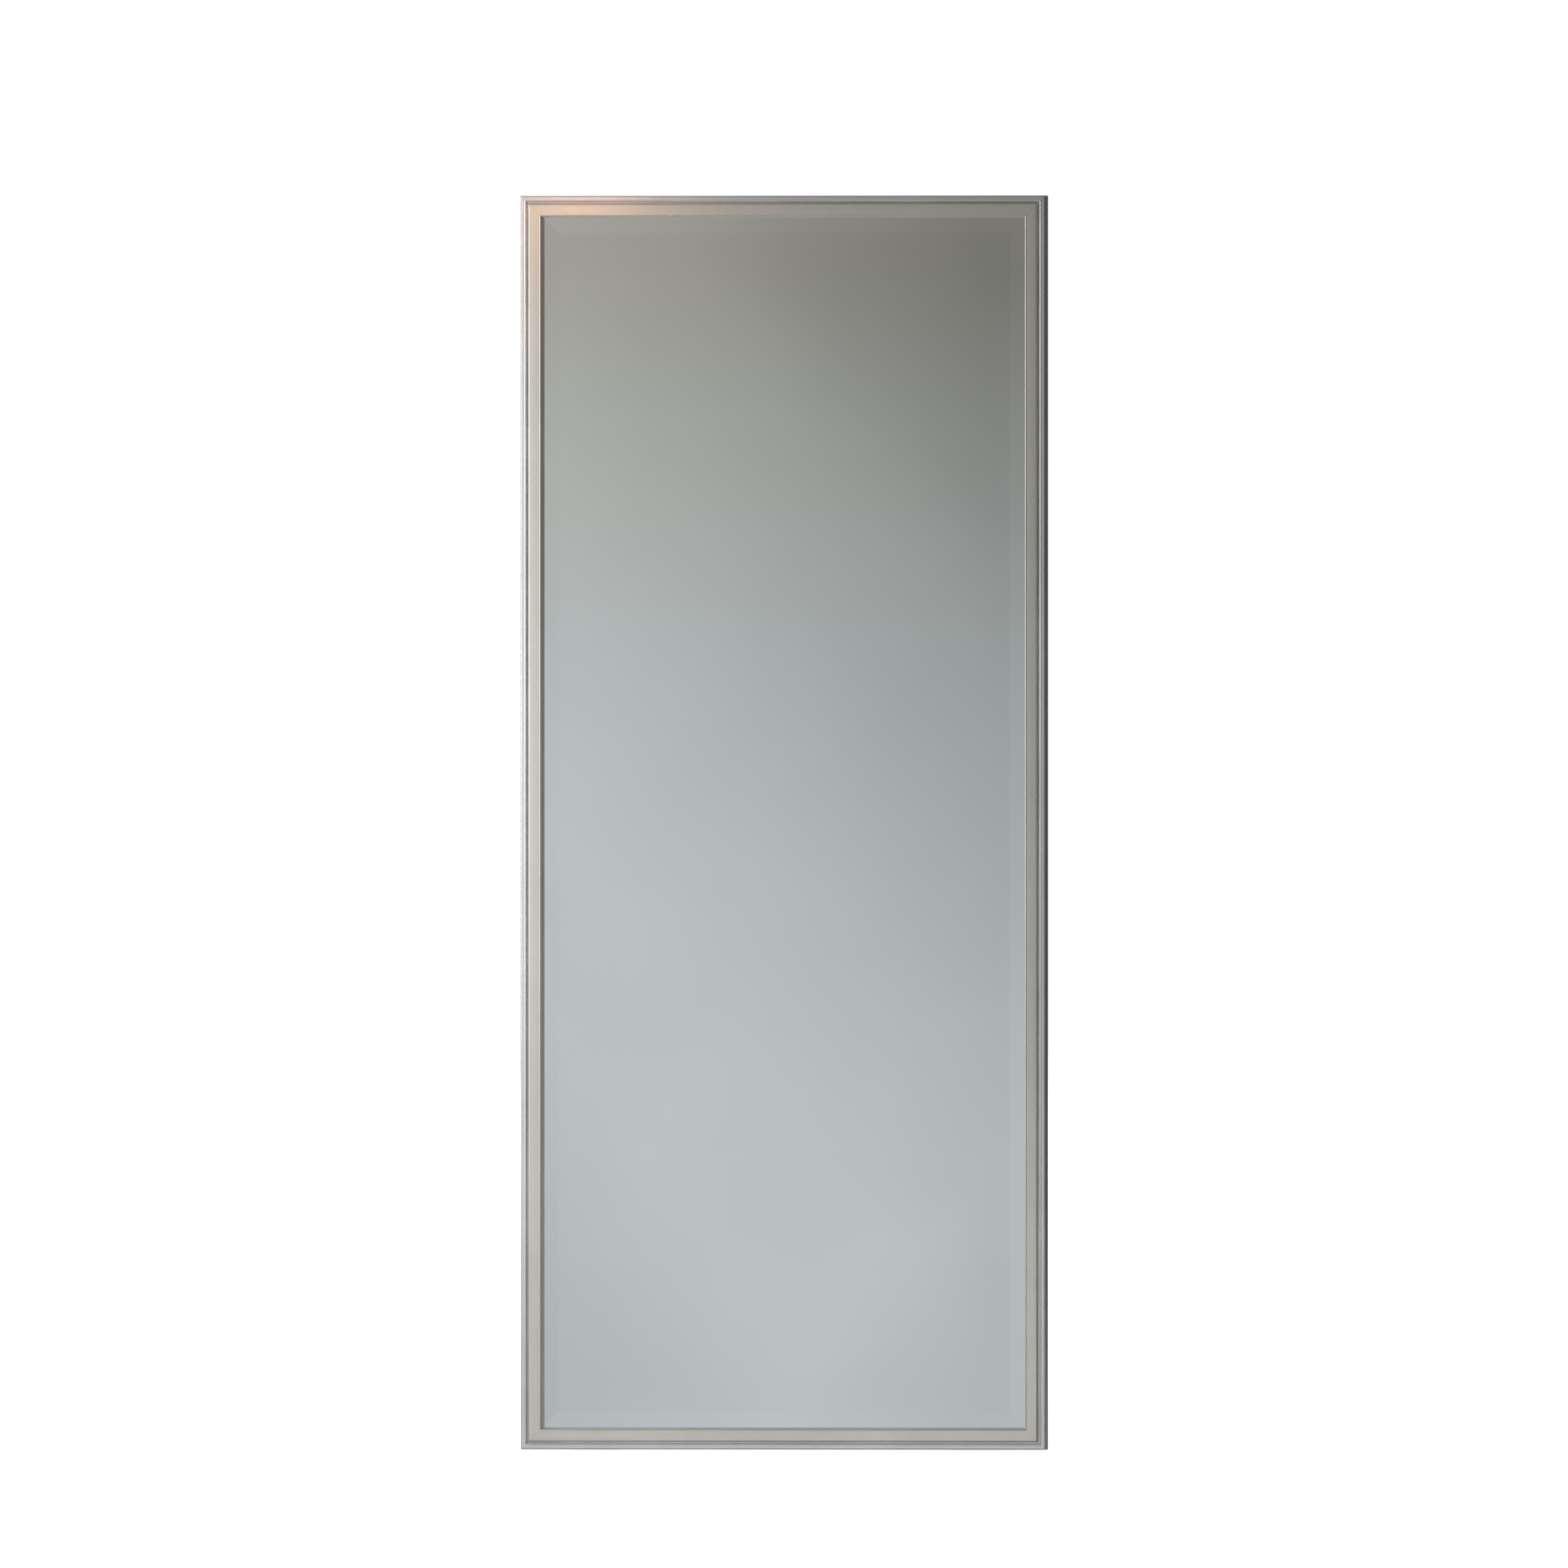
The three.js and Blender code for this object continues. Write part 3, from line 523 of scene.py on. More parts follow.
def inset_section(points, distance):
    """Each point of the section moved into the solid."""
    moved = []
    count = len(points)
    for i, (u, y, zone) in enumerate(points):
        before = Vector(points[i - 1][:2])
        after = Vector(points[(i + 1) % count][:2])
        heading = (after - before).normalized()
        moved.append((u - heading.y * distance, y + heading.x * distance, zone))
    return moved


def moulding_bmesh(half_length, place):
    """A mitred length. place turns (across, depth, along) into a point in the frame's axes."""
    section = moulding_section()
    inset = inset_section(section, MITRE_EASE)
    bm = bmesh.new()
    layer = bm.loops.layers.uv.new("run")
    rings = []
    for sign, points, back in (
        (-1, inset, MITRE_GAP),
        (-1, section, MITRE_GAP + MITRE_EASE),
        (1, section, MITRE_GAP + MITRE_EASE),
        (1, inset, MITRE_GAP),
    ):
        ring = []
        for u, y, _ in points:
            along = sign * (half_length - u - back)
            ring.append((bm.verts.new(place(u, y, along)), along))
        rings.append(ring)
    perimeter = [0.0]
    for (u0, y0, _), (u1, y1, _) in zip(section, section[1:] + section[:1]):
        perimeter.append(perimeter[-1] + math.hypot(u1 - u0, y1 - y0))
    count = len(section)
    for below, above in zip(rings, rings[1:]):
        for i in range(count):
            j = (i + 1) % count
            corners = (below[i], below[j], above[j], above[i])
            face = bm.faces.new([vertex for vertex, _ in corners])
            face.material_index = section[i][2]
            around = (perimeter[i], perimeter[i + 1], perimeter[i + 1], perimeter[i])
            for loop, (_, along), distance in zip(face.loops, corners, around):
                loop[layer].uv = (along, distance)
    for ring in (rings[0], rings[-1]):
        cap = bm.faces.new([vertex for vertex, _ in ring])
        cap.material_index = RAW
    return bm


def moulding(node, half_length, place, raw, housing=None):
    """One length of moulding. A stile has a housing cut in its back, for the end of the stay batten."""
    finishes = (silver_side_painted_shade, silver, silver_arris_painted_highlight, groove_glaze, champagne, champagne_arris_painted_highlight, raw)
    mesh = mesh_of(node, moulding_bmesh(half_length, place), *finishes)
    if housing is not None:
        for finish in finishes:
            housing.materials.append(finish)
        mesh = boolean(mesh, housing)
    piece = placed(f"{node}_moulding", shaded(mesh), FRAME, "mirror_frame")
    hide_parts(node)
    return piece


def batten_housing():
    low, high = local_box("stay_batten", FRAME)
    room = Vector((HOUSING_ROOM,) * 3)
    return block_mesh(low - room, high + Vector((HOUSING_ROOM, HOUSING_PAST_BACK, HOUSING_ROOM)), RAW)


rails = (
    ("bottom_rail", lambda u, y, a: (a, y, u)),
    ("top_rail", lambda u, y, a: (a, y, HEIGHT - u)),
)
stiles = (
    ("left_stile", lambda u, y, a: (u - HALF_WIDTH, y, HALF_HEIGHT + a)),
    ("right_stile", lambda u, y, a: (HALF_WIDTH - u, y, HALF_HEIGHT + a)),
)
mouldings = [moulding(node, HALF_WIDTH, place, pine_across) for node, place in rails]
mouldings += [
    moulding(node, HALF_HEIGHT, place, pine_upright, batten_housing()) for node, place in stiles
]

# ---------------------------------------------------------------- glass


def bevelled_glass():
    """The glass as rectangles, from the middle of the field out over the bevel and round to the back."""
    low, high = local_box("mirror_glass", FRAME)
    front, back = low.y, high.y
    drop = GLASS_THICKNESS - GLASS_EDGE
    slope = drop / BEVEL_WIDTH
    middle = (low + high) / 2
    half = (high - low) / 2
    levels = (
        (BEVEL_WIDTH + BEVEL_ARRIS, front),
        (BEVEL_WIDTH - BEVEL_ARRIS, front + BEVEL_ARRIS * slope),
        (GLASS_SEAM, front + drop - GLASS_SEAM * slope),
        (0, front + drop + GLASS_SEAM),
        (0, back - GLASS_SEAM),
        (GLASS_SEAM, back),
    )
    bm = bmesh.new()
    capped(bm, [oblong_ring(bm, half.x - inset, depth, half.z - inset, middle) for inset, depth in levels])
    return bm


BEVEL_SHARP_ANGLE = 1.5  # degrees; the bevel is shallow, and its edges are crisp
glass_mesh = shaded(mesh_of("bevelled_mirror", bevelled_glass(), mirror_silver), BEVEL_SHARP_ANGLE)
glass = placed("bevelled_mirror", glass_mesh, FRAME, "mirror_frame", False)
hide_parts("mirror_glass")

# ---------------------------------------------------------------- timber and board

WELD_GAP = 0.002 * MM
FLAT_ANGLE = math.radians(0.5)  # faces that turn less than this are one face
EDGE_ANGLE = math.radians(35)
CORNER_REACH = 0.05 * MM
TIMBER_EASE = 1.4 * MM
STAY_BATTEN_EASE = 0.8 * MM
BOARD_EASE = 0.5 * MM
STRUT_TILT = STRUT_OPENING - LEAN


def only_material(node, material):
    piece = frame["nodes"][node]
    piece.data.materials.clear()
    piece.data.materials.append(material)
    return piece


def eased(node, material, width, axes=None, segments=3):
    """Rounds a CAD node's edges with modifiers. With axes, only the edges of its outer block."""
    piece = only_material(node, material)
    piece.data.shade_smooth()
    weld = piece.modifiers.new("weld", "WELD")
    weld.merge_threshold = WELD_GAP
    flat = piece.modifiers.new("flat_faces", "DECIMATE")
    flat.decimate_type = "DISSOLVE"
    flat.angle_limit = FLAT_ANGLE
    edge = piece.modifiers.new("eased_edges", "BEVEL")
    edge.width = width
    edge.segments = segments
    edge.limit_method = "ANGLE"
    edge.angle_limit = EDGE_ANGLE
    if axes is not None:
        low, high = local_box(node, axes)
        back = axes.inverted()
        group = piece.vertex_groups.new(name="block_corners")
        for vertex in piece.data.vertices:
            place = back @ vertex.co
            if all(min(place[i] - low[i], high[i] - place[i]) < CORNER_REACH for i in range(3)):
                group.add([vertex.index], 1.0, "REPLACE")
        edge.limit_method = "VGROUP"
        edge.vertex_group = "block_corners"
    even = piece.modifiers.new("even_shading", "WEIGHTED_NORMAL")
    even.keep_sharp = False


for node, axes, tilt, ring_shift, ease in (
    ("hinge_batten", FRAME, -LEAN, (0.2, 0.05, 0.03), TIMBER_EASE),
    ("stay_batten", FRAME, -LEAN, (0.7, -0.04, 0.05), STAY_BATTEN_EASE),
    ("strut_top_rail", STRUT, STRUT_TILT, (0.4, 0.03, -0.06), TIMBER_EASE),
    ("strut_lower_rail", STRUT, STRUT_TILT, (0.9, 0.06, 0.02), TIMBER_EASE),
):
    eased(node, stained(f"{node}_wood", "x", tilt, ring_shift), ease, axes)
for side, word in SIDES:
    look = stained(f"{word}_strut_leg_wood", "z", STRUT_TILT, (0.05 + 0.07 * side, 0.04, 0.5))
    eased(f"{word}_strut_leg", look, TIMBER_EASE, STRUT)

eased("backing_board", hardboard(), BOARD_EASE, FRAME, 2)
only_material("card_liner", card_sheet())

# ---------------------------------------------------------------- plates, hinges and stays

PLATE_EASE = 0.25 * MM
for level in ("lower", "upper"):
    for _, word in SIDES:
        eased(f"{level}_{word}_corner_plate", zinc, PLATE_EASE, None, 2)
for _, word in SIDES:
    for part in ("hinge_frame_leaf", "hinge_strut_leaf", "stay_track", "stay_arm", "stay_bracket"):
        eased(f"{word}_{part}", zinc, PLATE_EASE, None, 2)

# ---------------------------------------------------------------- screws, pins and rivets

SCREW_HEAD_RADIUS = 3.2 * MM
SCREW_CORE_RADIUS = 1.1 * MM
SCREW_THREAD_RADIUS = 1.6 * MM
SCREW_PITCH = 1.25 * MM
SCREW_TAPER = 4 * MM  # length of the point
SCREW_SIDES = 14
THREAD_RINGS = 5  # rings of points to each turn of the thread
THREAD_HALF_WIDTH = 0.28  # of the ridge, as a share of the pitch
PAN_RADIUS = 3.3 * MM
PAN_HEIGHT = 1.7 * MM
RECESS_HALF_WIDTHS = (0.55 * MM, 0.32 * MM)  # of the cross's arms, at the top and the bottom
RECESS_TAPER = 0.45  # how far the arms reach at the bottom, as a share of the top
RECESS_ABOVE = 0.3 * MM


def cross_recess(mesh, top, reach, depth):
    """Cuts a tapered cross into the head, whose top is at y = top."""
    for turn in (0, math.pi / 2):
        bm = bmesh.new()
        wide, narrow = RECESS_HALF_WIDTHS
        upper = oblong_ring(bm, reach, top + RECESS_ABOVE, wide)
        lower = oblong_ring(bm, reach * RECESS_TAPER, top - depth, narrow)
        capped(bm, (upper, lower))
        bmesh.ops.recalc_face_normals(bm, faces=bm.faces)
        bmesh.ops.rotate(bm, verts=bm.verts, cent=(0, 0, 0), matrix=Matrix.Rotation(turn, 3, "Y"))
        mesh = boolean(mesh, mesh_of("recess", bm, outward=False))
    return mesh


def screw_mesh(name, length, head_profile):
    """A wood screw along Y: its head from the profile, then a threaded shank down to its point."""
    bm = bmesh.new()
    rings = [round_ring(bm, radius, y, SCREW_SIDES) for radius, y in head_profile[1:]]
    start = head_profile[-1][1]
    steps = int((length + start) / (SCREW_PITCH / THREAD_RINGS))
    for step in range(1, steps):
        y = start - (length + start) * step / steps
        point = min(1.0, (y + length) / SCREW_TAPER)
        ring = []
        for t in turns(SCREW_SIDES):
            phase = (y / SCREW_PITCH + t / (2 * math.pi)) % 1.0
            ridge = max(0.0, 1 - abs(phase - 0.5) / THREAD_HALF_WIDTH)
            radius = (SCREW_CORE_RADIUS + (SCREW_THREAD_RADIUS - SCREW_CORE_RADIUS) * ridge) * point
            ring.append(bm.verts.new((radius * math.cos(t), y, radius * math.sin(t))))
        rings.append(ring)
    pointed(bm, rings, head_profile[0][1], -length)
    return mesh_of(name, bm, zinc)


def countersunk_mesh(length):
    head = (
        (0, -0.02 * MM),
        (2.0 * MM, -0.02 * MM),
        (2.9 * MM, -0.08 * MM),
        (SCREW_HEAD_RADIUS, -0.3 * MM),
        (SCREW_HEAD_RADIUS, -0.45 * MM),
        (1.5 * MM, -2.1 * MM),
        (1.5 * MM, -3.0 * MM),
        (SCREW_CORE_RADIUS, -3.3 * MM),
    )
    return shaded(cross_recess(screw_mesh("countersunk_screw", length, head), 0, 2.0 * MM, 1.5 * MM))


def pan_head_mesh(length):
    dome = [
        (PAN_RADIUS * math.sin(a), PAN_HEIGHT * (0.25 + 0.75 * math.cos(a)))
        for a in (math.radians(d) for d in (0, 25, 45, 62, 76, 88))
    ]
    head = (*dome, (PAN_RADIUS, 0), (SCREW_THREAD_RADIUS, 0), (SCREW_CORE_RADIUS, -0.4 * MM))
    return shaded(cross_recess(screw_mesh("pan_head_screw", length, head), PAN_HEIGHT, 1.9 * MM, 1.3 * MM))


screw_meshes = {}


def shared_screw(length):
    key = round(length / MM)
    if key not in screw_meshes:
        screw_meshes[key] = countersunk_mesh(key * MM)
    return screw_meshes[key]


def random_turn():
    """How far one screw happens to be turned about its own axis."""
    return Matrix.Rotation(rng.uniform(0, math.pi), 4, "Y")


def screw_in_place(node, axes, body, outward):
    """A detailed screw where the CAD has a plain one. outward is the head's way out, in the axes."""
    low, high = local_box(node, axes)
    middle = (low + high) / 2
    way = Vector(outward)
    reach = (high - low).dot(Vector(map(abs, way))) / 2
    head = middle + way * reach
    turn = way.to_track_quat("Y", "Z").to_matrix().to_4x4()
    spot = axes @ Matrix.Translation(head) @ turn @ random_turn()
    piece = placed(f"{node}_threaded", shared_screw(2 * reach), spot, body, False)
    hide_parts(node)


def pan_head_in_place(name, mesh, place):
    """A pan-head screw in the back of the frame. place is where its head lies, in the frame's axes."""
    spot = FRAME @ Matrix.Translation(place) @ random_turn()
    placed(name, mesh, spot, "mirror_frame", False)


for i in range(4):
    screw_in_place(f"hinge_batten_screw_{i + 1}", FRAME, "mirror_frame", (0, 1, 0))
for i in range(2):
    screw_in_place(f"stay_batten_screw_{i + 1}", FRAME, "mirror_frame", (0, 1, 0))
for side, word in SIDES:
    for i in range(2):
        screw_in_place(f"{word}_frame_leaf_screw_{i + 1}", FRAME, "mirror_frame", (0, 1, 0))
        screw_in_place(f"{word}_bracket_screw_{i + 1}", FRAME, "mirror_frame", (0, 1, 0))
        screw_in_place(f"{word}_strut_leaf_screw_{i + 1}", STRUT, "strut", (0, 1, 0))
        screw_in_place(f"{word}_track_screw_{i + 1}", STRUT, "strut", (side, 0, 0))

PLATE_HOLES = (26 * MM, 48 * MM)
PLATE_HOLE_MIDDLE = 10 * MM
PLATE_SCREW_LENGTH = 12 * MM
pan_head = pan_head_mesh(PLATE_SCREW_LENGTH)
for level in ("lower", "upper"):
    for side, word in SIDES:
        plate_back = local_box(f"{level}_{word}_corner_plate", FRAME)[1].y
        spots = [(hole, PLATE_HOLE_MIDDLE) for hole in PLATE_HOLES]
        spots += [(PLATE_HOLE_MIDDLE, hole) for hole in PLATE_HOLES]
        for i, (across, up) in enumerate(spots):
            z = up if level == "lower" else HEIGHT - up
            spot = (side * (HALF_WIDTH - across), plate_back, z)
            pan_head_in_place(f"{level}_{word}_plate_screw_{i + 1}", pan_head, spot)

PIN_SIDES = 32
PIN_EDGE = 0.08 * MM  # easing under the head
DOME_SHARE = 0.75  # of the head's thickness
# The pins' shank radius, head radius and head thickness.
HINGE_PIN = (1.5 * MM, 2.4 * MM, 1.0 * MM)
STAY_RIVET = (2.5 * MM, 4.2 * MM, 1.2 * MM)
SLIDE_PIN = (2.0 * MM, 3.5 * MM, 1.2 * MM)


def turned_pin(node, axes, body, shank, head, head_thickness):
    """A headed pin along X in the space that the CAD's pin holds, with domed heads."""
    low, high = local_box(node, axes)
    middle = (low + high) / 2
    half = (high.x - low.x) / 2
    dome = [
        (head * math.sin(a), half - head_thickness * DOME_SHARE * (1 - math.cos(a)))
        for a in (math.radians(d) for d in (0, 22, 44, 62, 78, 90))
    ]
    under = half - head_thickness
    upper = dome + [(head, under + PIN_EDGE), (head - PIN_EDGE, under), (shank, under)]
    lower = [(radius, -y) for radius, y in reversed(upper)]
    profile = upper + lower
    bm = bmesh.new()
    rings = [round_ring(bm, radius, y, PIN_SIDES) for radius, y in profile[1:-1]]
    pointed(bm, rings, profile[0][1], profile[-1][1])
    bmesh.ops.rotate(bm, verts=bm.verts, cent=(0, 0, 0), matrix=Matrix.Rotation(-math.pi / 2, 3, "Z"))
    bmesh.ops.translate(bm, verts=bm.verts, vec=middle)
    name = f"{node}_turned"
    piece = placed(name, shaded(mesh_of(name, bm, zinc)), axes, body)
    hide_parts(node)


for _, word in SIDES:
    turned_pin(f"{word}_hinge_pin", FRAME, "mirror_frame", *HINGE_PIN)
    turned_pin(f"{word}_stay_pivot", FRAME, "mirror_frame", *STAY_RIVET)
    turned_pin(f"{word}_slide_pin", STAYS, f"{word}_stay", *SLIDE_PIN)

# ---------------------------------------------------------------- flat points in the rebate

POINT_THICKNESS = 0.5 * MM
POINT_HALF_WIDTH = 5 * MM
POINT_REACH = 9 * MM
POINT_BITE = 4 * MM
POINT_SHOULDER = 0.6  # half width where the tip's sides bend, as a share of the point's
POINT_LIFT = 0.03 * MM
POINTS_UP = (180, 560, 940, 1320)  # heights, in millimetres
POINTS_ACROSS = (-170, 0, 170)


def point_mesh():
    """A thin steel arrow: its blunt end lies on the board and its tip is pushed into the wood."""
    bm = bmesh.new()
    w, reach, bite = POINT_HALF_WIDTH, POINT_REACH, POINT_BITE
    nose = arc((0, reach - w), w, 0, 180, 10)
    shoulder, bend = w * POINT_SHOULDER, -bite * 0.5
    outline = [(-w, 0), (-shoulder, bend), (0, -bite), (shoulder, bend), (w, 0), *nose]
    capped(bm, [[bm.verts.new((x, y, z)) for x, z in outline] for y in (0, POINT_THICKNESS)])
    return mesh_of("flat_point", bm, zinc)


flat_point = point_mesh()
board_back = local_box("backing_board", FRAME)[1].y
rebate = MOULDING_WIDTH - REBATE_WIDTH


def flat_points(name, spots, turn):
    for i, (x, z) in enumerate(spots):
        spot = Matrix.Translation((x, board_back + POINT_LIFT, z)) @ Matrix.Rotation(turn, 4, "Y")
        placed(f"{name}_{i + 1}", flat_point, FRAME @ spot, "mirror_frame", False)


flat_points("bottom_point", [(x * MM, rebate) for x in POINTS_ACROSS], 0)
flat_points("top_point", [(x * MM, HEIGHT - rebate) for x in POINTS_ACROSS], math.pi)
flat_points("left_point", [(rebate - HALF_WIDTH, z * MM) for z in POINTS_UP], math.pi / 2)
flat_points("right_point", [(HALF_WIDTH - rebate, z * MM) for z in POINTS_UP], -math.pi / 2)

# ---------------------------------------------------------------- feet

FOOT_CORNER = 3 * MM
FOOT_CORNER_STEPS = 6
FOOT_SHARP_ANGLE = 25
# Down a foot, from its top (0) to its sole (1): where its eased edges end, and how far they draw in.
TOP_EDGE, TOP_INSET = 0.06, 0.35 * MM
SOLE_EDGE, SOLE_INSET = 0.93, 0.4 * MM
# A groove round the foot: half its width at the mouth and at the bottom, as shares, and its depth.
TREAD_MOUTH, TREAD_BOTTOM, TREAD_DEPTH = 0.07, 0.03, 0.8 * MM
TREADS = (0.35, 0.65)
FRAME_SOLE = -0.05 * MM  # the lowest that a frame foot reaches in the frame's axes
FOOT_MIDDLE = 235 * MM
FOOT_SCREW_HEIGHT = 11 * MM
FOOT_SCREW_LENGTH = 26 * MM
FOOT_SCREWS_ACROSS = (-16 * MM, 16 * MM)


def rubber_foot(node, axes, body, grooves, lowest=-math.inf):
    """A moulded pad with round corners and grooves, from its flat top to the floor, or to its lowest."""
    radius = FOOT_CORNER
    low, high = local_box(node, axes)
    turn, origin = axes.to_3x3(), axes.translation

    def sole(x, y):
        return max(lowest, -(origin.z + turn[2][0] * x + turn[2][1] * y) / turn[2][2])

    centres = (
        (high.x - radius, high.y - radius, 0),
        (low.x + radius, high.y - radius, 90),
        (low.x + radius, low.y + radius, 180),
        (high.x - radius, low.y + radius, 270),
    )
    outline = []
    for x, y, start in centres:
        outline += arc((x, y), radius, start, start + 90, FOOT_CORNER_STEPS)
    middle = (low + high) / 2
    levels = [(0.0, TOP_INSET), (TOP_EDGE, 0.0)]
    for place in grooves:
        levels += [(place - TREAD_MOUTH, 0.0), (place - TREAD_BOTTOM, TREAD_DEPTH)]
        levels += [(place + TREAD_BOTTOM, TREAD_DEPTH), (place + TREAD_MOUTH, 0.0)]
    levels += [(SOLE_EDGE, 0.0), (1.0, SOLE_INSET)]
    bm = bmesh.new()
    rings = []
    for share, inset in levels:
        ring = []
        for x, y in outline:
            inward = (Vector((middle.x, middle.y)) - Vector((x, y))).normalized() * inset
            px, py = x + inward.x, y + inward.y
            ring.append(bm.verts.new((px, py, high.z + (sole(px, py) - high.z) * share)))
        rings.append(ring)
    capped(bm, rings)
    name = f"{node}_moulded"
    piece = placed(name, shaded(mesh_of(name, bm, rubber), FOOT_SHARP_ANGLE), axes, body)
    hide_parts(node)


foot_screw = pan_head_mesh(FOOT_SCREW_LENGTH)
for side, word in SIDES:
    rubber_foot(f"{word}_frame_foot", FRAME, "mirror_frame", (), FRAME_SOLE)
    foot_back = local_box(f"{word}_frame_foot", FRAME)[1].y
    for i, across in enumerate(FOOT_SCREWS_ACROSS):
        spot = (side * FOOT_MIDDLE + across, foot_back, FOOT_SCREW_HEIGHT)
        pan_head_in_place(f"{word}_foot_screw_{i + 1}", foot_screw, spot)
    rubber_foot(f"{word}_strut_foot", STRUT, "strut", TREADS)

# ---------------------------------------------------------------- floor, studio and lights

FLOOR_SIZE = 70
FLOOR_GLOW = 0.93
FLOOR_DROP = 0.1 * MM


def shader_object(name, mesh, material):
    mesh.materials.append(material)
    item = bpy.data.objects.new(name, mesh)
    bpy.context.scene.collection.objects.link(item)
    return item


def pale_floor():
    """A plain sheet, lit so that it reads white but for the soft shadow under the mirror."""
    look = Look("pale_floor", Specular_IOR_Level=0.0, Roughness=1.0)
    grain = look.noise(look.object_axes(), 30, 2)
    colour = look.mix(look.ramp(grain, (0.3, 0.0), (0.7, 1.0)), (0.78, 0.78, 0.78), (0.80, 0.80, 0.80))
    look.feed(look.shader, {"Base Color": colour, "Emission Strength": FLOOR_GLOW})
    look.feed(look.shader, {"Emission Color": (1, 1, 1, 1)})
    bm = bmesh.new()
    bmesh.ops.create_grid(bm, x_segments=2, y_segments=2, size=FLOOR_SIZE)
    floor = shader_object("floor", mesh_of("floor", bm, outward=False), look.material)
    floor.location.z = -FLOOR_DROP
    floor.visible_glossy = False
    floor.visible_diffuse = False


# The studio is a wide soft shell that only glossy surfaces see: what the mirror and the metallic
# finishes reflect. Its shades are set by places on it, in the frame's axes from the frame's middle.
# In front of the mirror it carries a small patch of finer shades, what the glass reflects, and round
# that patch a wide soft sweep. Light linking keeps the bright window to the mouldings alone, so that
# the glass never shows it, and keeps the lamp at the right rear off them.
SHELL_RADIUS = 3.0
SHELL_SEGMENTS, SHELL_RINGS = 96, 48
REFLECTED_MIDDLE = -SHELL_RADIUS * math.sin(VIEW_ANGLE)  # where the mirror's middle looks in this view
PATCH_ACROSS = (-0.29, 0.27)  # its shade changes between these places, and is even past them
PATCH_UP = (-0.72, 0.71)
PATCH_HALF_WIDTH, PATCH_HALF_HEIGHT = 0.80, 1.25  # past these, the patch fades into the sweep
PATCH_BACK = 1.8  # and where the shell is nearer to the mirror's plane than this
WINDOW_STRENGTH = 2.9
WINDOW_GAP = 0.05  # between the window and the shell
WINDOW_RIGHT, WINDOW_BACK = -1.5, -0.2  # how far right and back the window reaches


def link_light(light, pieces, state):
    """Lets a light reach only some pieces (INCLUDE), or all but them (EXCLUDE)."""
    linked = bpy.data.collections.new(f"{light.name}_pieces")
    for piece in pieces:
        linked.objects.link(piece)
    for entry in linked.collection_objects:
        entry.light_linking.link_state = state
    light.light_linking.receiver_collection = linked


def shell_look(name):
    """A material for the shell, and the places on it, across, back and up."""
    look = Look(name)
    parts = look.add("SeparateXYZ", {"Vector": look.add("TexCoord").outputs["Object"]}).outputs
    return look, (parts["X"], parts["Y"], parts["Z"])


def centred(look, value, scale):
    """A place, scaled, as a ramp's factor: 0.5 at the middle."""
    return look.maths("ADD", look.maths("MULTIPLY", value, scale), 0.5)


def times(look, colour, factor):
    return look.mix(1.0, colour, factor, "MULTIPLY")


def shell(name, look, surface, radius, kept=lambda place: True):
    """The part of a sphere that is kept, seen by glossy surfaces only."""
    output = next(node for node in look.tree.nodes if node.type == "OUTPUT_MATERIAL")
    look.feed(output, {"Surface": surface})
    bm = bmesh.new()
    bmesh.ops.create_uvsphere(bm, u_segments=SHELL_SEGMENTS, v_segments=SHELL_RINGS, radius=radius)
    dropped = [face for face in bm.faces if not kept(face.calc_center_median())]
    bmesh.ops.delete(bm, geom=dropped, context="FACES")
    mesh = mesh_of(name, bm, outward=False)
    mesh.shade_smooth()
    item = shader_object(name, mesh, look.material)
    item.matrix_world = FRAME @ Matrix.Translation((0, 0, HALF_HEIGHT))
    for ray in ("camera", "diffuse", "transmission", "volume_scatter", "shadow"):
        setattr(item, f"visible_{ray}", False)
    return item


def clamped(look, value, limits):
    return look.add("Clamp", {"Value": value, "Min": limits[0], "Max": limits[1]}).outputs[0]


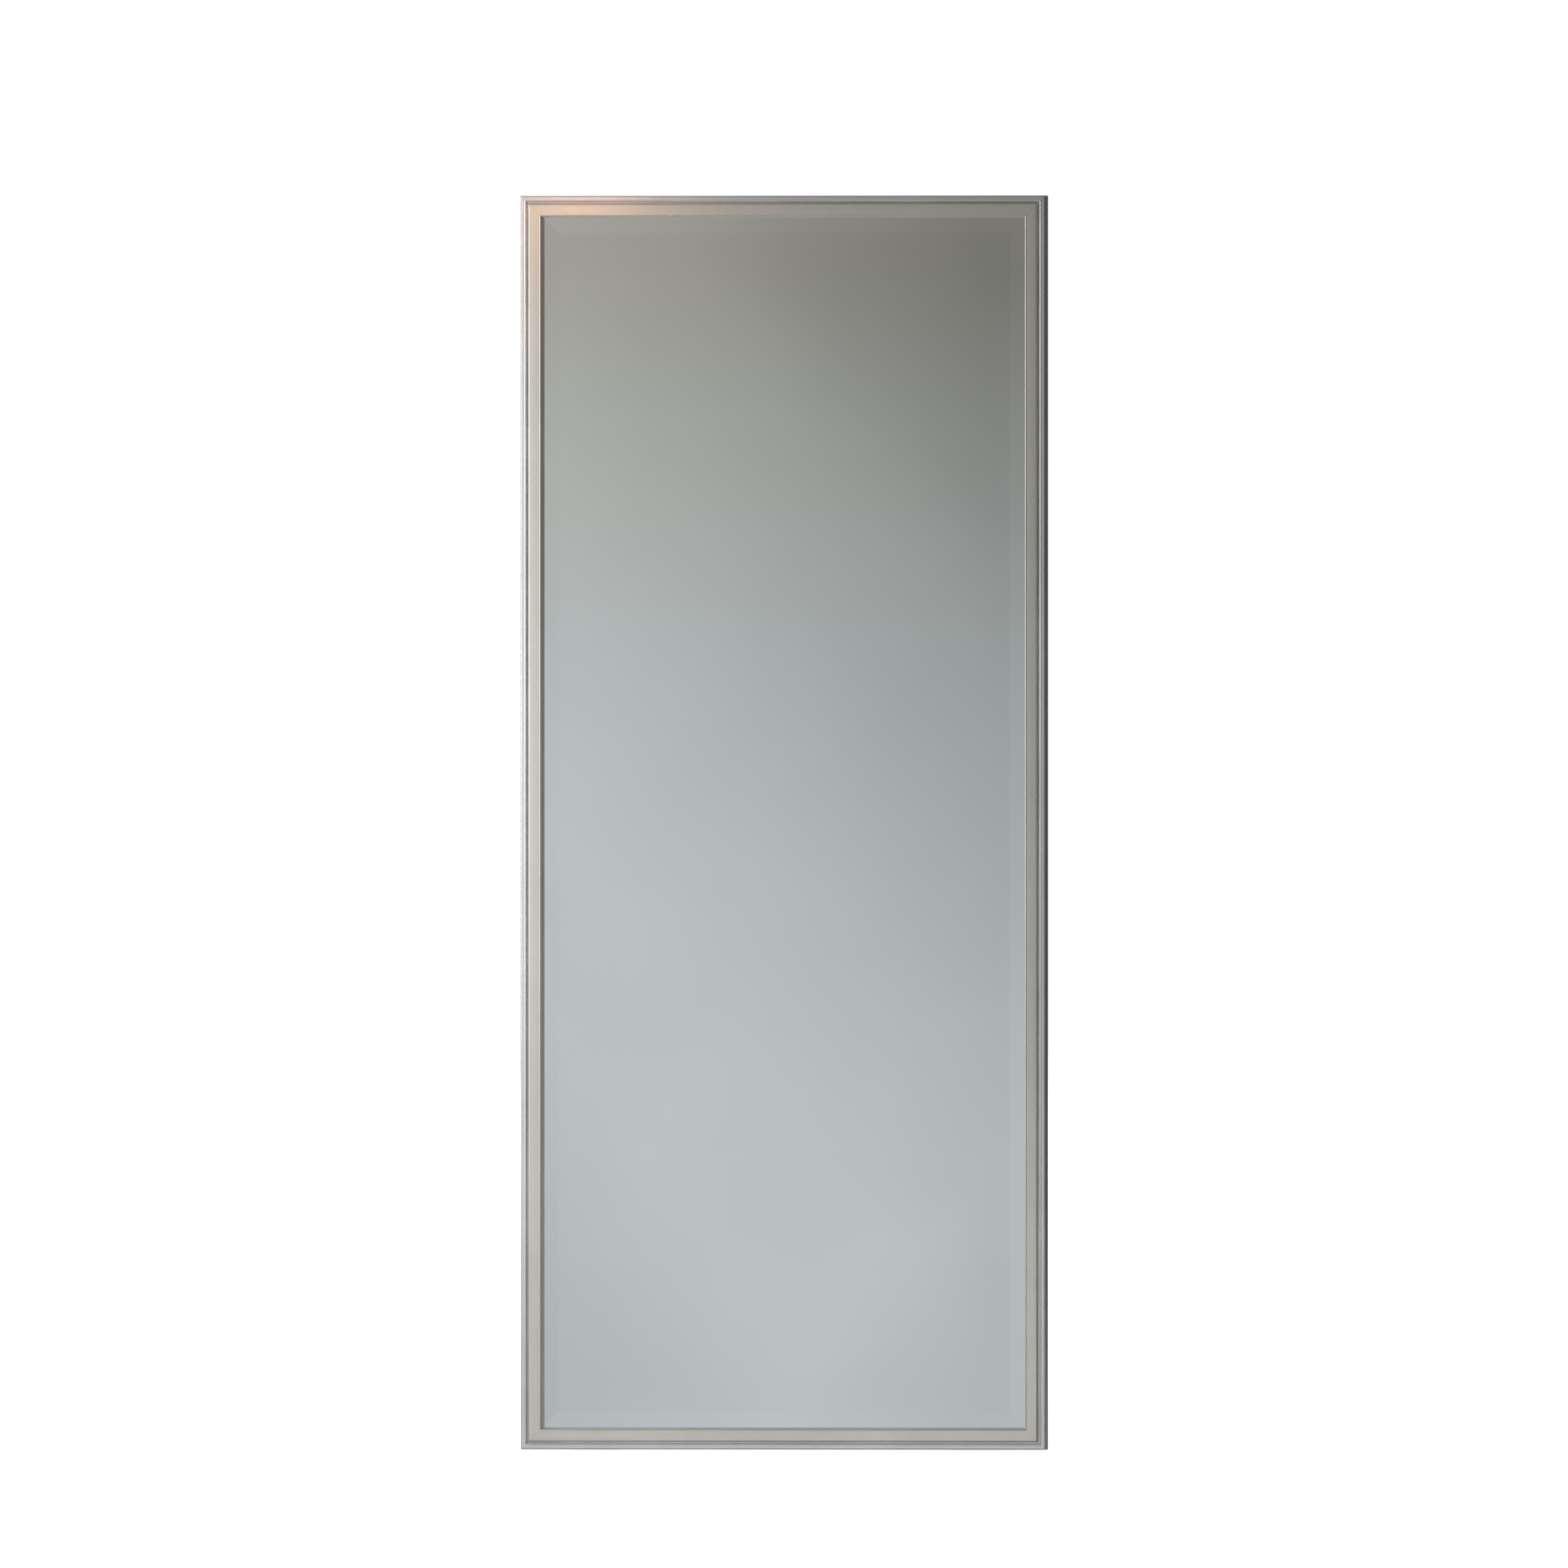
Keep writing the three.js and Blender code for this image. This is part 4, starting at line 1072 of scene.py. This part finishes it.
def studio_shell():
    """The whole shell: its patch (near), then its sweep (wide), and the change from one to the other."""
    look, (x, y, z) = shell_look("studio_shell_glow")
    across = clamped(look, look.maths("SUBTRACT", x, REFLECTED_MIDDLE), PATCH_ACROSS)
    height = clamped(look, z, PATCH_UP)
    slant = look.maths("ADD", height, look.maths("MULTIPLY", across, 1.3))
    shade = look.ramp(
        centred(look, slant, 0.4),
        (0.06, 0.485),
        (0.24, 0.557),
        (0.36, 0.545),
        (0.50, 0.480),
        (0.64, 0.392),
        (0.72, 0.345),
        (0.80, 0.275),
        (0.92, 0.202),
    )
    tint = look.ramp(
        centred(look, z, 0.5),
        (0.25, (1.0, 1.04, 1.075)),
        (0.50, (1.0, 1.06, 1.10)),
        (0.62, (1.0, 1.05, 1.06)),
        (0.74, (1.0, 1.03, 0.98)),
        (0.86, (1.0, 0.965, 0.87)),
    )
    bevel_x = look.ramp(centred(look, x, 0.5), (0.14, 0.97), (0.20, 1.0), (0.56, 1.0), (0.62, 1.05))
    bevel_z = look.ramp(centred(look, z, 0.4), (0.12, 1.02), (0.18, 1.0), (0.80, 1.0), (0.85, 1.06))
    corner = look.maths("MULTIPLY", look.maths("SUBTRACT", across, height), 0.5)
    shade = times(look, shade, look.ramp(corner, (0.36, 1.0), (0.50, 0.87)))
    near = times(look, times(look, times(look, shade, tint), bevel_x), bevel_z)
    wide = look.ramp(
        centred(look, x, 1 / (2 * SHELL_RADIUS)),
        (0.0, 0.48),
        (0.25, 0.62),
        (0.45, 0.38),
        (0.62, 0.12),
        (0.85, 0.10),
        (1.0, 0.20),
    )
    level = centred(look, z, 1 / (2 * SHELL_RADIUS))
    wide = times(look, wide, look.ramp(level, (0.30, 0.92), (0.45, 1.0), (0.56, 1.0), (0.72, 1.12)))
    off_x = look.maths("ABSOLUTE", look.maths("SUBTRACT", x, REFLECTED_MIDDLE))
    past_side = look.maths("SUBTRACT", off_x, PATCH_HALF_WIDTH)
    past_end = look.maths("SUBTRACT", look.maths("ABSOLUTE", z), PATCH_HALF_HEIGHT)
    outside = look.maths("MAXIMUM", past_side, past_end)
    behind = look.maths("MULTIPLY", look.maths("ADD", y, PATCH_BACK), 2.0, True)
    far = look.maths("MAXIMUM", look.maths("MULTIPLY", outside, 1.2, True), behind)
    colour = look.mix(far, near, wide)
    glow = look.add("Emission", {"Color": colour, "Strength": 1.0})
    shell("studio_shell", look, glow.outputs[0], SHELL_RADIUS)


def window_glow(pieces):
    """A tall bright window at the left, which only the moulding reflects: the light along its arrises."""
    look, (x, y, z) = shell_look("window_glow")
    up = look.maths("MULTIPLY", look.maths("ADD", z, 1.0), 0.5)
    tall = look.ramp(up, (0.18, 0.0), (0.30, 0.45), (0.45, 0.75), (0.62, 1.0), (0.82, 1.0), (0.98, 0.5))
    left = look.maths("MULTIPLY", x, -1 / SHELL_RADIUS)
    wide = look.ramp(left, (0.55, 0.0), (0.65, 0.9), (0.92, 1.0), (1.0, 0.0))
    strength = look.maths("MULTIPLY", look.maths("MULTIPLY", tall, wide), WINDOW_STRENGTH)
    glow = look.add("Emission", {"Color": (1.0, 0.985, 0.97, 1), "Strength": strength})
    clear = look.add("BsdfTransparent")
    both = look.add("AddShader", {0: glow.outputs[0], 1: clear.outputs[0]})

    def kept(place):
        return place.x < WINDOW_RIGHT and place.y < WINDOW_BACK

    window = shell("window_glow", look, both.outputs[0], SHELL_RADIUS - WINDOW_GAP, kept)
    link_light(window, pieces, "INCLUDE")


def lamp(name, place, aim, size, power, colour=(1, 1, 1)):
    """A soft rectangular light. place and aim are in the frame's axes."""
    data = bpy.data.lights.new(name, "AREA")
    data.shape = "RECTANGLE"
    data.size, data.size_y = size
    data.energy = power
    data.color = colour
    item = bpy.data.objects.new(name, data)
    bpy.context.scene.collection.objects.link(item)
    here, there = FRAME @ Vector(place), FRAME @ Vector(aim)
    turn = (here - there).to_track_quat("Z", "Y").to_matrix().to_4x4()
    item.matrix_world = Matrix.Translation(here) @ turn
    item.visible_glossy = False
    item.visible_camera = False
    return item


def studio_world(ambient):
    """White to the camera, and an even grey light for everything else."""
    world = bpy.data.worlds.new("studio")
    world.use_nodes = True
    bpy.context.scene.world = world
    tree = world.node_tree
    background = tree.nodes["Background"]
    path = tree.nodes.new("ShaderNodeLightPath")
    choose = tree.nodes.new("ShaderNodeMix")
    choose.data_type = "RGBA"
    tree.links.new(path.outputs["Is Camera Ray"], choose.inputs[0])
    choose.inputs[6].default_value = (*ambient, 1)
    choose.inputs[7].default_value = (1, 1, 1, 1)
    tree.links.new(choose.outputs[2], background.inputs["Color"])


AMBIENT = (0.11, 0.11, 0.113)
DAYLIGHT = (1.0, 0.985, 0.96)
LAMPLIGHT = (1.0, 0.50, 0.28)

pale_floor()
studio_shell()
window_glow(mouldings)
studio_world(AMBIENT)
lamp("side_light", (-0.78, -0.42, 0.97), (-0.2, 0, 0.97), (0.3, 1.15), 10.4)
lamp("low_fill", (0.05, -1.1, -0.05), (0.0, 0, 0.22), (1.5, 0.4), 11.2)
lamp("corner_light", (0.52, 0.05, -0.02), (0.3, 0.03, 0.03), (0.08, 0.12), 0.5)
lamp("warm_light", (-0.26, -0.16, 1.57), (-0.28, 0, 1.53), (0.1, 0.1), 0.36, LAMPLIGHT)
lamp("rear_light", (-0.9, 2.4, 1.9), (0, 0.2, 0.7), (1.6, 1.6), 60, DAYLIGHT)

rear_fill = lamp("rear_fill", (1.9, 1.7, 1.3), (0, 0.1, 0.7), (1.2, 1.2), 26, DAYLIGHT)
link_light(rear_fill, mouldings, "EXCLUDE")

bpy.context.scene.view_settings.view_transform = "Standard"
